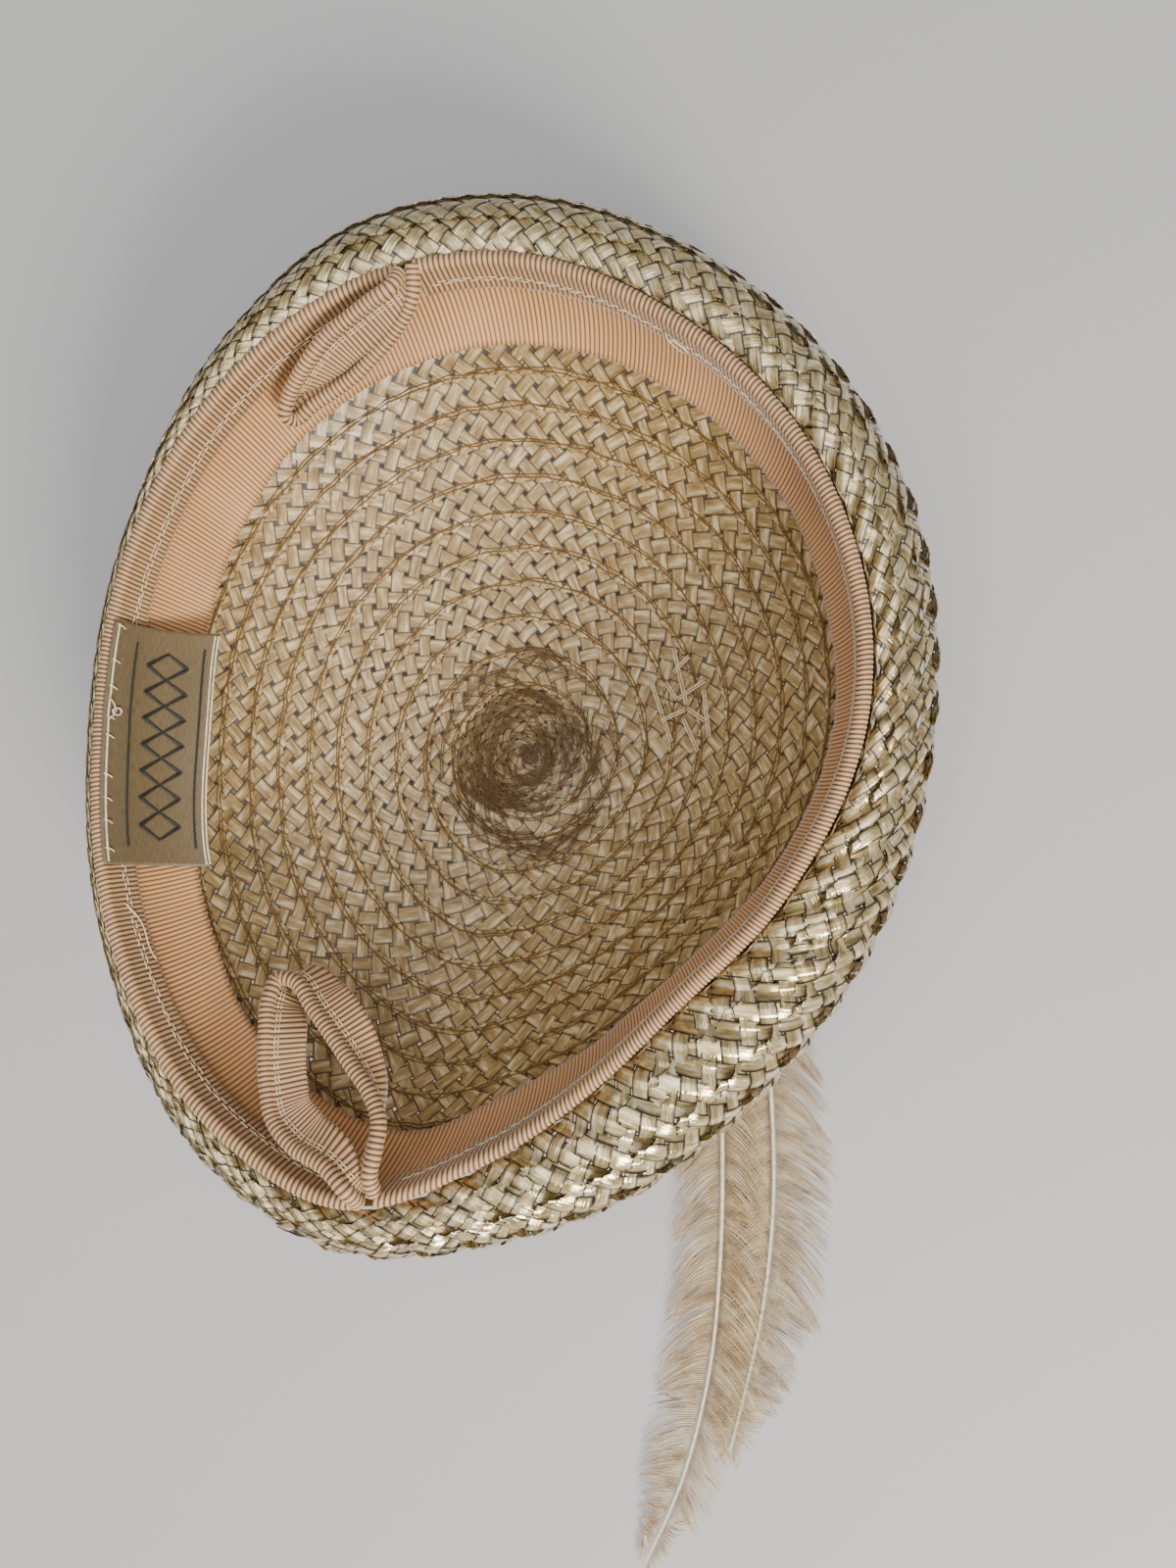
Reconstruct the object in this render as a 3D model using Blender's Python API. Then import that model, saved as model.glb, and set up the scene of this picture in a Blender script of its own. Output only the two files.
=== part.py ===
"""A small vintage-style cocktail hat of plaited straw, lying crown down with its opening up.

The frame: +Z up out of the head opening, +X towards the hat's front, +Y towards its far side.
The origin is the middle of the crown's flat button, the face that the hat lies on.
Metres throughout. Run it with: blender --background --python part.py
"""

import math
from functools import lru_cache

import bmesh
import bpy
import numpy as np

# The straw body
RIM_REACH = 0.1003       # from the button's middle to the rim, where the rim is widest
RIM_HEIGHT = 0.056       # the rim above the table
BUTTON_RADIUS = 0.016    # flat coil in the crown's middle
STRAW = 0.0016           # thickness of the sewn straw braid
ROW_RELIEF = 0.0005      # how far the middle of a row of braid stands proud of its seams
CROWN_ROWS = 13          # rows of braid from the button to the rim
BRIM_ROWS = 4            # rows of braid across the rolled brim
ROLL_WIDTH = 0.0215      # how far the roll reaches beyond the rim, where it is widest
ROLL_HEIGHT = 0.0135     # upright half height of the roll, where it is fullest
ROLL_START = 120.0       # degrees on the roll's oval where it leaves the rim
ROLL_END = -28.0         # degrees on the roll's oval where its lip ends
FOOT_PULL = 0.5          # how flat the crown leaves the button, in shares of its reach
WALL_PULL = 2.3          # how upright the wall meets the rim, in shares of the rim's height

# Grosgrain sweatband, wired piping, pin loops and label
BAND_WIDTH = 0.0254
BAND_THICK = 0.0010
BAND_SLACK = 0.0060      # how far the band's free edge hangs off the wall at its loosest
SLACK_BEND = 1.5         # power of the band's curve away from the wall
PIPING_WIDTH = 0.0032    # the cord of the piping, over its wire
TAPE_WIDTH = 0.0100      # the folded tape, from the cord's outside to the tape's edges
TAPE_THICK = 0.0010
CORD_RISE = 0.0008       # how far the cord's middle lies above the rim
NEAR_LOOP = 0.0500       # length of each pin loop, from the rim to its tip
FAR_LOOP = 0.0440
LOOP_SPREAD = 0.0045     # from a loop's middle to the rim piping's end beside it
LABEL_LENGTH = 0.0508
LABEL_WIDTH = 0.0300
LABEL_THICK = 0.0010
LABEL_DIRECTION = 181.5  # degrees round the rim, at the hat's back
LABEL_STAND = 0.0040     # how far the label's free edge stands off the band

# Plumes
LONG_PLUME = 0.2090      # along its quill
SHORT_PLUME = 0.1830
LONG_VANE = 0.0105       # from the quill to the vane's edge, at its widest
SHORT_VANE = 0.0120
QUILL_WIDTH = 0.0022
QUILL_HEIGHT = 0.0016
VANE_THICK = 0.0009
BARB_SLANT = 0.0090      # how far a lock's tip lies ahead of its root, along the quill
SLANT_END = 0.25         # the last share of a plume, over which that slant dies out
LONG_TILT = 0.13         # how steeply the long plume lies up over the short one
LOCKS = 13               # locks of barbs down each side of a plume
LOCK_NOTCH = 0.72        # the vane's share that is left between two locks
QUILL_DROP = (0.08, 0.30)  # shares of its length where a quill leaves the crown and meets the table

# Fits and fineness
SEAM_GAP = 0.0003        # clearance between pieces that lie on each other
AROUND = 44              # facets round the hat
LOOP_STATIONS = 30       # sections along a pin loop
PROFILE_STEPS = 160      # points of the crown's worked-out profile
LEAN_STEP = 0.0015       # stretch of wall over which its lean is measured
SMOOTH_ANGLE = 40.0      # degrees: sharper edges than this are shaded as edges

# Sections round the hat: degrees from the front, then the rim's reach as a share of RIM_REACH, the
# wall's flare in degrees, and shares of ROLL_WIDTH, ROLL_HEIGHT and BAND_SLACK.
SECTION_COLUMNS = ("direction", "rim", "flare", "roll", "crest", "slack")
SECTIONS = (
    # front
    (0.0, 0.806, -8.0, 0.57, 0.85, 0.05),
    (30.0, 0.868, -9.0, 0.65, 0.90, 0.05),
    (60.0, 0.933, -9.0, 0.76, 0.95, 0.05),
    # far side
    (90.0, 1.002, -4.0, 0.80, 0.90, 0.35),
    (104.0, 0.998, 0.0, 0.79, 0.85, 0.30),
    (120.0, 0.960, 0.0, 0.56, 0.80, 0.10),
    (150.0, 0.871, 3.0, 0.17, 0.60, 0.20),
    # back
    (180.0, 0.827, 5.0, 0.14, 0.50, 0.50),
    (210.0, 0.890, 5.0, 0.16, 0.55, 0.25),
    (240.0, 0.989, 5.0, 0.41, 0.75, 0.15),
    # near side
    (256.0, 1.003, 6.0, 0.48, 0.80, 0.10),
    (272.0, 0.888, 4.0, 0.75, 0.90, 0.10),
    (288.0, 0.789, -1.0, 0.98, 1.00, 0.05),
    (305.0, 0.724, -5.5, 1.03, 1.00, 0.05),
    (330.0, 0.736, -6.0, 0.84, 0.95, 0.05),
)

# The cord of each pin loop, in shares of its length along it, across it and out of its plane, then
# where its tape heads from the cord, on the same axes, and how much of the tape's width shows.
LOOP_COLUMNS = ("along", "across", "lift", "tape_along", "tape_across", "tape_lift", "tape")
NEAR_LOOP_ROWS = (
    (0.01, 0.038, 0.00, 0.2, -0.3, -0.9, 0.05),
    (0.06, 0.032, 0.08, 0.3, -0.8, -0.6, 0.30),
    (0.18, 0.070, 0.09, 0.3, -1.0, -0.4, 0.75),
    (0.33, 0.175, 0.08, 0.2, -1.0, -0.3, 1.00),
    (0.46, 0.215, 0.07, 0.0, -1.0, -0.2, 1.00),
    (0.61, 0.190, 0.06, -0.1, -1.0, -0.2, 1.00),
    (0.81, 0.115, 0.05, -0.1, -1.0, -0.3, 1.00),
    (0.94, 0.055, 0.03, -0.3, -0.8, -0.9, 0.80),
    (1.00, 0.000, 0.00, -0.3, -0.3, -1.0, 0.70),
    (0.96, -0.055, 0.00, 0.3, -0.6, -0.9, 0.75),
    (0.81, -0.095, 0.01, 0.4, -1.0, -0.5, 0.95),
    (0.64, -0.135, 0.02, 0.3, -1.0, -0.5, 0.95),
    (0.50, -0.165, 0.03, 0.1, -0.7, -0.9, 0.85),
    (0.36, -0.195, 0.04, 0.0, 0.0, -1.0, 0.75),
    (0.25, -0.190, 0.05, 0.1, 0.5, -0.9, 0.65),
    (0.15, -0.130, 0.06, 0.2, 0.8, -0.7, 0.35),
    (0.07, -0.065, 0.05, 0.2, 0.8, -0.4, 0.10),
    (0.01, -0.038, 0.00, 0.2, 0.3, -0.9, 0.05),
)
FAR_LOOP_ROWS = (
    (0.03, -0.040, 0.00, 0.2, 0.4, 0.6, 0.05),
    (0.09, -0.100, 0.05, 0.2, 0.8, 0.6, 0.40),
    (0.21, -0.120, 0.03, 0.1, 0.8, 0.6, 0.90),
    (0.33, -0.130, 0.01, 0.0, 0.8, 0.6, 1.00),
    (0.48, -0.145, -0.01, 0.0, 0.8, 0.6, 1.00),
    (0.60, -0.155, 0.00, -0.1, 0.8, 0.5, 0.90),
    (0.73, -0.140, 0.01, -0.3, 0.7, 0.3, 0.60),
    (0.84, -0.120, 0.03, -0.4, 0.4, -0.2, 0.30),
    (0.93, -0.085, 0.07, -0.3, 0.1, -0.6, 0.20),
    (0.92, -0.045, 0.09, -0.1, 0.0, -1.0, 0.20),
    (0.81, -0.015, 0.10, 0.0, 0.0, -1.0, 0.25),
    (0.68, 0.015, 0.12, 0.0, 0.0, -1.0, 0.30),
    (0.54, 0.035, 0.14, 0.0, 0.1, -1.0, 0.35),
    (0.40, 0.045, 0.14, 0.0, 0.2, -1.0, 0.40),
    (0.28, 0.045, 0.14, 0.0, 0.3, -1.0, 0.35),
    (0.16, 0.030, 0.13, 0.1, 0.4, -0.9, 0.15),
    (0.06, 0.010, 0.10, 0.1, 0.7, -0.3, 0.04),
    (-0.04, -0.010, 0.01, 0.2, 0.7, 0.3, 0.02),
)
# For each loop: where it leaves the rim, its heading in plan from +X, its dip below the level and
# how far it is rolled about its own length, all in degrees.
LOOPS = {
    "pin_loop_near": {"length": NEAR_LOOP, "rows": NEAR_LOOP_ROWS,
                      "place": 258.8, "heading": 119.5, "dip": 11.0, "roll": 0.0},
    "pin_loop_far": {"length": FAR_LOOP, "rows": FAR_LOOP_ROWS,
                     "place": 98.0, "heading": 217.0, "dip": 16.0, "roll": 95.0},
}

# Each plume's quill in plan from its stitched end, in shares of its length, and the vane's half widths
# behind and before it in shares of its widest.
PLUME_COLUMNS = ("along", "plan_x", "plan_y", "back_vane", "front_vane")
LONG_PLUME_ROWS = (
    (0.00, 0.000, 0.000, 0.00, 0.00),
    (0.20, 0.024, -0.200, 0.10, 0.10),
    (0.36, 0.038, -0.360, 0.60, 0.55),
    (0.50, 0.042, -0.500, 0.95, 0.90),
    (0.64, 0.039, -0.640, 1.00, 0.95),
    (0.78, 0.024, -0.775, 0.98, 0.90),
    (0.90, -0.008, -0.891, 0.72, 0.66),
    (1.00, -0.050, -0.981, 0.10, 0.10),
)
SHORT_PLUME_ROWS = (
    (0.00, 0.000, 0.000, 0.00, 0.00),
    (0.20, 0.035, -0.197, 0.10, 0.10),
    (0.38, 0.062, -0.375, 0.60, 0.70),
    (0.54, 0.077, -0.535, 0.85, 1.00),
    (0.68, 0.078, -0.675, 0.90, 1.00),
    (0.82, 0.061, -0.814, 0.80, 0.90),
    (0.93, 0.036, -0.919, 0.50, 0.60),
    (1.00, 0.018, -0.986, 0.10, 0.10),
)
# Each plume's stitched end is held in plan at shares of RIM_REACH from the hat's middle.
PLUMES = {
    "plume_long": {"rows": LONG_PLUME_ROWS, "length": LONG_PLUME, "vane": LONG_VANE, "tilt": LONG_TILT,
                   "held": (0.379, 0.177)},
    "plume_short": {"rows": SHORT_PLUME_ROWS, "length": SHORT_PLUME, "vane": SHORT_VANE, "tilt": 0.0,
                    "held": (0.438, 0.182)},
}


def clear_scene():
    """Take away whatever the file opened with."""
    for obj in list(bpy.data.objects):
        bpy.data.objects.remove(obj, do_unlink=True)


def material(name, colour, roughness):
    """A plain Principled finish for one kind of stuff."""
    mat = bpy.data.materials.new(name)
    mat.use_nodes = True
    shader = mat.node_tree.nodes["Principled BSDF"]
    shader.inputs["Base Color"].default_value = (*colour, 1.0)
    shader.inputs["Roughness"].default_value = roughness
    shader.inputs["Metallic"].default_value = 0.0
    return mat


def column(rows, names, name):
    """One named column of a table, as an array."""
    return np.array([row[names.index(name)] for row in rows], float)


def through(knots, values, at, period=None):
    """A smooth curve through a table's values: cubic pieces whose slopes come from both neighbours."""
    x = np.asarray(knots, float)
    y = np.asarray(values, float)
    if period is None:
        x = np.concatenate([[2 * x[0] - x[1]], x, [2 * x[-1] - x[-2]]])
        y = np.concatenate([[2 * y[0] - y[1]], y, [2 * y[-1] - y[-2]]])
    else:
        at = (np.asarray(at, float) - x[0]) % period + x[0]
        x = np.concatenate([x[-2:] - period, x, x[:2] + period])
        y = np.concatenate([y[-2:], y, y[:2]])
    slope = np.gradient(y, x)
    i = np.clip(np.searchsorted(x, at, side="right") - 1, 0, len(x) - 2)
    width = x[i + 1] - x[i]
    t = (at - x[i]) / width
    return (
        (2 * t**3 - 3 * t**2 + 1) * y[i]
        + (t**3 - 2 * t**2 + t) * width * slope[i]
        + (3 * t**2 - 2 * t**3) * y[i + 1]
        + (t**3 - t**2) * width * slope[i + 1]
    )


def section(name, direction):
    """One column of the sections, read smoothly at any direction round the hat."""
    directions = column(SECTIONS, SECTION_COLUMNS, "direction")
    return float(through(directions, column(SECTIONS, SECTION_COLUMNS, name), direction, 360.0))


@lru_cache(maxsize=None)
def wall_curve(direction):
    """The crown's outer profile in one direction: reach, height and depth below the rim, from the rim in."""
    rim = RIM_REACH * section("rim", direction)
    flare = math.radians(section("flare", direction))
    t = np.linspace(0.0, 1.0, PROFILE_STEPS)
    leave = t**3 - 2 * t**2 + t
    arrive = t**3 - t**2
    rise = 3 * t**2 - 2 * t**3
    pull = WALL_PULL * RIM_HEIGHT
    run = rim - BUTTON_RADIUS
    reach = BUTTON_RADIUS + rise * run + leave * FOOT_PULL * run + arrive * pull * math.sin(flare)
    height = rise * RIM_HEIGHT + arrive * pull * math.cos(flare)
    reach = reach[::-1]
    height = height[::-1]
    depth = np.concatenate([[0.0], np.cumsum(np.hypot(np.diff(reach), np.diff(height)))])
    return reach, height, depth


def wall_point(direction, below, inward):
    """A point at a depth below the rim along the crown's wall, and at a distance inward from its outside."""
    reach, height, depth = wall_curve(direction)
    flare = math.radians(section("flare", direction))
    if below < 0.0:
        r = reach[0] - below * math.sin(flare)
        z = height[0] - below * math.cos(flare)
        lean_r, lean_z = -math.sin(flare), -math.cos(flare)
    else:
        r = float(np.interp(below, depth, reach))
        z = float(np.interp(below, depth, height))
        ends = np.clip([below - LEAN_STEP, below + LEAN_STEP], 0.0, depth[-1])
        lean_r = float(np.diff(np.interp(ends, depth, reach))[0])
        lean_z = float(np.diff(np.interp(ends, depth, height))[0])
    size = math.hypot(lean_r, lean_z)
    r += inward * lean_z / size
    z -= inward * lean_r / size
    a = math.radians(direction)
    return (r * math.cos(a), r * math.sin(a), z)


def on_facets(direction, place):
    """A place's point at any direction, on the flat between the two facet edges beside it."""
    step = 360.0 / AROUND
    low = math.floor(direction / step) * step
    a = np.array(place(low))
    b = np.array(place(low + step))
    turn = math.radians(direction)
    off_a = a[0] * math.sin(turn) - a[1] * math.cos(turn)
    off_b = b[0] * math.sin(turn) - b[1] * math.cos(turn)
    return tuple(a + (b - a) * off_a / (off_a - off_b))


def band_inward(direction, below):
    """How far inward from the wall's outside the sweatband's outer face lies, at a depth below the rim."""
    slack = BAND_SLACK * section("slack", direction)
    share = min(max(below / BAND_WIDTH, 0.0), 1.0)
    return STRAW + ROW_RELIEF + SEAM_GAP + slack * share**SLACK_BEND


def band_point(direction, below, inward):
    """A point at a depth below the rim, and inward from the wall plus the sweatband's slack there."""
    slack = band_inward(direction, below) - band_inward(direction, 0.0)
    return wall_point(direction, below, inward + slack)


def all_round():
    """The directions of the facets round the hat, in degrees."""
    return [i * 360.0 / AROUND for i in range(AROUND)]


def stretch(first, last):
    """The directions from first to last: both ends, and the facets' own directions between them."""
    step = 360.0 / AROUND
    least = 0.2 * step
    edges = np.arange(math.ceil(first / step), math.floor(last / step) + 1) * step
    return [first, *(float(a) for a in edges if first + least < a < last - least), last]


def mesh_from(name, bm):
    """A mesh from finished faces."""
    mesh = bpy.data.meshes.new(name)
    bm.to_mesh(mesh)
    bm.free()
    return mesh


def surface(name, rows, closed, filled=False):
    """A skin of quads from rows of points; each row may close on itself, and the first may be filled."""
    bm = bmesh.new()
    rings = [[bm.verts.new(p) for p in row] for row in rows]
    if filled:
        bm.faces.new(rings[0][::-1])
    for low, high in zip(rings, rings[1:]):
        n = len(low)
        for i in range(n if closed else n - 1):
            j = (i + 1) % n
            bm.faces.new((low[i], low[j], high[j], high[i]))
    return mesh_from(name, bm)


def solid(name, rings, capped=True):
    """A closed solid from rings of points carried along a path, with flat ends, or joined end to start."""
    bm = bmesh.new()
    loops = [[bm.verts.new(p) for p in ring] for ring in rings]
    pairs = list(zip(loops, loops[1:]))
    if capped:
        bm.faces.new(loops[0][::-1])
        bm.faces.new(loops[-1])
    else:
        pairs.append((loops[-1], loops[0]))
    for a, b in pairs:
        n = len(a)
        for i in range(n):
            j = (i + 1) % n
            bm.faces.new((a[i], a[j], b[j], b[i]))
    bmesh.ops.recalc_face_normals(bm, faces=bm.faces)
    return mesh_from(name, bm)


def add(name, mesh, finish, thickness=None):
    """Put a mesh in the scene under its own name, thickened on its inner side where it is a wall."""
    obj = bpy.data.objects.new(name, mesh)
    bpy.context.scene.collection.objects.link(obj)
    mesh.materials.append(finish)
    mesh.shade_smooth()
    mesh.set_sharp_from_angle(angle=math.radians(SMOOTH_ANGLE))
    if thickness is not None:
        wall = obj.modifiers.new("wall", "SOLIDIFY")
        wall.thickness = thickness
        wall.offset = -1.0
        wall.use_even_offset = True
    return obj


def crown(finish):
    """The domed crown: a flat button, then rows of braid that stand proud between their seams."""
    top = SEAM_GAP + PIPING_WIDTH / 2.0 - CORD_RISE
    steps = 2 * CROWN_ROWS
    rows = []
    for k in range(steps + 1):
        sunk = ROW_RELIEF if k % 2 == 0 and k > 0 else 0.0
        ring = []
        for a in all_round():
            whole = wall_curve(a)[2][-1]
            ring.append(wall_point(a, top + (whole - top) * (1.0 - k / steps), sunk))
        rows.append(ring)
    return add("crown", surface("crown", rows, closed=True, filled=True), finish, STRAW)


def roll_point(direction, turn, sunk):
    """A point of the rolled brim: on an upright oval beside the rim, from the rim over the top and down."""
    rim = RIM_REACH * section("rim", direction) + SEAM_GAP
    start = math.radians(ROLL_START)
    wide = ROLL_WIDTH * section("roll", direction) / (1.0 - math.cos(start))
    tall = ROLL_HEIGHT * section("crest", direction)
    t = math.radians(turn)
    r = rim + (wide - sunk) * math.cos(t) - wide * math.cos(start)
    z = RIM_HEIGHT - CORD_RISE + (tall - sunk) * math.sin(t) - tall * math.sin(start)
    a = math.radians(direction)
    return (r * math.cos(a), r * math.sin(a), z)


def rolled_brim(finish):
    """The brim, rolled outward and down beside the crown, in rows of braid."""
    steps = 2 * BRIM_ROWS
    rings = []
    for a in all_round():
        outer, inner = [], []
        for k in range(steps + 1):
            turn = ROLL_START + (ROLL_END - ROLL_START) * k / steps
            outer.append(roll_point(a, turn, ROW_RELIEF if k % 2 == 0 else 0.0))
            inner.append(roll_point(a, turn, ROW_RELIEF + STRAW))
        rings.append(outer + inner[::-1])
    return add("rolled_brim", solid("rolled_brim", rings, capped=False), finish)


def sweatband(finish):
    """The ribbon inside the rim, which follows the wall and hangs off it where it is slack."""
    top = PIPING_WIDTH / 2.0
    rows = []
    for share in (1.0, 0.67, 0.34, 0.0):
        below = top + (BAND_WIDTH - top) * share
        rows.append([wall_point(a, below, band_inward(a, below)) for a in all_round()])
    return add("sweatband", surface("sweatband", rows, closed=True), finish, BAND_THICK)


def cord_inward():
    """How far inward from the wall's outside the piping's cord lies: over the sweatband's top edge."""
    return STRAW + ROW_RELIEF + BAND_THICK / 2.0


def tape_inward():
    """How far inward from the wall's outside the tape's outer face lies, on the sweatband."""
    return STRAW + ROW_RELIEF + BAND_THICK + 2.0 * SEAM_GAP


def rim_section():
    """The rim piping's section, as (below the rim, inward): the cord, then its tape down over the band."""
    radius = PIPING_WIDTH / 2.0
    turns = np.radians(np.linspace(75.0, 375.0, 8))
    points = [(radius * math.cos(t) - CORD_RISE, radius * math.sin(t) + cord_inward()) for t in turns]
    bend = radius - SEAM_GAP
    end = TAPE_WIDTH - radius - CORD_RISE
    outer, inner = tape_inward(), tape_inward() + TAPE_THICK
    return points + [(bend, outer), (end, outer), (end, inner), (bend, inner)]


def rim_piping(name, first, last, finish):
    """A stretch of the wired piping: its cord along the rim and its tape down over the sweatband."""
    rings = []
    for a in stretch(first, last):
        rings.append([on_facets(a, lambda d: band_point(d, below, inward)) for below, inward in rim_section()])
    return add(name, solid(name, rings), finish)


def loop_axes(loop):
    """A pin loop's start on the rim and its three axes: along it, across it and out of its plane."""
    start = np.array(wall_point(loop["place"], -CORD_RISE, cord_inward()))
    h, d, r = (math.radians(loop[k]) for k in ("heading", "dip", "roll"))
    along = np.array([math.cos(h) * math.cos(d), math.sin(h) * math.cos(d), -math.sin(d)])
    level = np.array([-math.sin(h), math.cos(h), 0.0])
    lift = np.cross(along, level) * math.cos(r) + level * math.sin(r)
    return start, along, np.cross(lift, along), lift


def loop_path(loop):
    """Points evenly spaced along a pin loop's cord, with its tape's heading and shown share at each."""
    start, *axes = loop_axes(loop)
    cord = np.array([column(loop["rows"], LOOP_COLUMNS, k) for k in ("along", "across", "lift")]).T
    tape = np.array([column(loop["rows"], LOOP_COLUMNS, "tape_" + k) for k in ("along", "across", "lift")]).T
    places = start + loop["length"] * cord @ np.array(axes)
    heads = tape @ np.array(axes)
    run = np.concatenate([[0.0], np.cumsum(np.linalg.norm(np.diff(places, axis=0), axis=1))])
    at = np.linspace(0.0, run[-1], LOOP_STATIONS)
    points = np.stack([through(run, places[:, k], at) for k in range(3)], axis=1)
    towards = np.stack([through(run, heads[:, k], at) for k in range(3)], axis=1)
    return points, towards, through(run, column(loop["rows"], LOOP_COLUMNS, "tape"), at)


def corded_tape(tape):
    """A round cord's section with a flat tape of this width: points as (towards the tape, across it)."""
    half = math.asin(TAPE_THICK / PIPING_WIDTH)
    radius = PIPING_WIDTH / 2.0
    turns = np.linspace(half, 2.0 * math.pi - half, 8)
    points = [(radius * math.cos(t), radius * math.sin(t)) for t in turns]
    return points + [(tape - radius, -TAPE_THICK / 2.0), (tape - radius, TAPE_THICK / 2.0)]


def pin_loop(name, finish):
    """A loop of the wired piping that reaches in from the rim, for a hat pin or a comb."""
    points, heads, shares = loop_path(LOOPS[name])
    least = PIPING_WIDTH + SEAM_GAP / 2.0
    rings = []
    for point, head, share, run in zip(points, heads, shares, np.gradient(points, axis=0)):
        run = run / np.linalg.norm(run)
        towards = head - run * head.dot(run)
        towards /= np.linalg.norm(towards)
        side = np.cross(run, towards)
        shape = corded_tape(least + (TAPE_WIDTH - least) * share)
        rings.append([tuple(point + towards * u + side * v) for u, v in shape])
    return add(name, solid(name, rings), finish)


def label_section():
    """The label's face, as (below the rim, inward): over the piping's cord, then down and off the band."""
    over = PIPING_WIDTH / 2.0 + SEAM_GAP + LABEL_THICK
    bend = np.radians((5.0, 35.0, 65.0, 95.0))
    points = [(-CORD_RISE - over * math.cos(t), cord_inward() + over * math.sin(t)) for t in bend]
    flat = max(cord_inward() + over, tape_inward() + TAPE_THICK + SEAM_GAP + LABEL_THICK)
    drop = LABEL_WIDTH - over * (bend[-1] - bend[0])
    for share in (0.15, 0.45, 0.75, 1.0):
        points.append((points[3][0] + drop * share, flat + LABEL_STAND * share**2))
    return points


def label(finish):
    """The woven label at the back, sewn along the rim over the piping and standing off at its free edge."""
    rows = []
    for below, inward in label_section():
        reach = math.hypot(*band_point(LABEL_DIRECTION, below, inward)[:2])
        half = math.degrees(LABEL_LENGTH / 2.0 / reach)
        across = np.linspace(LABEL_DIRECTION - half, LABEL_DIRECTION + half, 9)
        rows.append([on_facets(float(a), lambda d: band_point(d, below, inward)) for a in across])
    return add("label", surface("label", rows, closed=False), finish, LABEL_THICK)


def quill_underside(x, y, share):
    """Height of a quill's underside: against the crown at its stitched end, then down on to the table."""
    reach, height, _ = wall_curve(math.degrees(math.atan2(y, x)) % 360.0)
    over = float(np.interp(math.hypot(x, y) - QUILL_WIDTH, reach[::-1], height[::-1]))
    held = max(over - SEAM_GAP - QUILL_HEIGHT - ROW_RELIEF, 0.0)
    leave, land = QUILL_DROP
    fall = min(max((share - leave) / (land - leave), 0.0), 1.0)
    return held * (1.0 - fall) ** 2


def plume(name, finish):
    """A feather: a quill with locks of barbs down both sides, their tips ahead of their roots."""
    rows, length, vane, tilt = (PLUMES[name][k] for k in ("rows", "length", "vane", "tilt"))
    along = column(rows, PLUME_COLUMNS, "along")
    at = np.linspace(0.0, 1.0, 2 * LOCKS + 1)
    x, y, back, front = (through(along, column(rows, PLUME_COLUMNS, k), at) for k in PLUME_COLUMNS[1:])
    quill = RIM_REACH * np.array(PLUMES[name]["held"]) + length * np.stack([x, y], axis=1)
    run = np.gradient(quill, axis=0)
    run /= np.linalg.norm(run, axis=1)[:, None]
    side = np.stack([-run[:, 1], run[:, 0]], axis=1)
    rings = []
    for i, share_along in enumerate(at):
        notch = 1.0 if i % 2 else LOCK_NOTCH
        ahead = BARB_SLANT * min(1.0, (1.0 - share_along) / SLANT_END)
        under = quill_underside(*quill[i], share_along)
        low, high = [], []
        for turn, share in ((1.0, max(front[i], 0.0)), (0.0, 0.0), (-1.0, max(back[i], 0.0))):
            reach = turn * (QUILL_WIDTH / 2.0 + vane * share * notch)
            place = quill[i] + side[i] * reach + run[i] * ahead * share
            raised = under + tilt * max(0.0, reach + vane) * (share > 0.0 or turn == 0.0)
            low.append((place[0], place[1], raised))
            high.append((place[0], place[1], raised + (VANE_THICK if turn else QUILL_HEIGHT)))
        rings.append(low + high[::-1])
    return add(name, solid(name, rings), finish)


def build():
    """Make every piece of the hat."""
    clear_scene()
    straw = material("straw", (0.56, 0.46, 0.28), 0.35)
    ribbon = material("ribbon", (0.66, 0.45, 0.29), 0.75)
    woven = material("woven_label", (0.36, 0.29, 0.17), 0.6)
    feather = material("feather", (0.72, 0.62, 0.42), 0.8)
    crown(straw)
    rolled_brim(straw)
    sweatband(ribbon)
    spread = math.degrees(LOOP_SPREAD / RIM_REACH)
    far = LOOPS["pin_loop_far"]["place"]
    near = LOOPS["pin_loop_near"]["place"]
    rim_piping("piping_back", far + spread, near - spread, ribbon)
    rim_piping("piping_front", near + spread - 360.0, far - spread, ribbon)
    for name in LOOPS:
        pin_loop(name, ribbon)
    label(woven)
    for name in PLUMES:
        plume(name, feather)


build()
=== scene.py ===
import math

import bpy
import numpy as np
from mathutils import Matrix


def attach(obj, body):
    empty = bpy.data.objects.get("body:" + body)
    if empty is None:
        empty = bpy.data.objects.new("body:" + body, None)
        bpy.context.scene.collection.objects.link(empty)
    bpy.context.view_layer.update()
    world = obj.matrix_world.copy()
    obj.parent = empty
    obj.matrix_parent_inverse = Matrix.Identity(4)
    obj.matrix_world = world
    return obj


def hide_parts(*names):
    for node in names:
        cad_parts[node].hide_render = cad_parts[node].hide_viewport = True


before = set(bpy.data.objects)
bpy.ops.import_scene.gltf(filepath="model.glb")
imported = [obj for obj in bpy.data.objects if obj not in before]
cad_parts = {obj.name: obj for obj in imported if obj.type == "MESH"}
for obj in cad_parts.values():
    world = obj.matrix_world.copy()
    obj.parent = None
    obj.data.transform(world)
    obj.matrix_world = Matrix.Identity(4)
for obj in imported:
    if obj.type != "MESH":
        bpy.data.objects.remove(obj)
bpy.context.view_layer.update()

MM = 0.001

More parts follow.
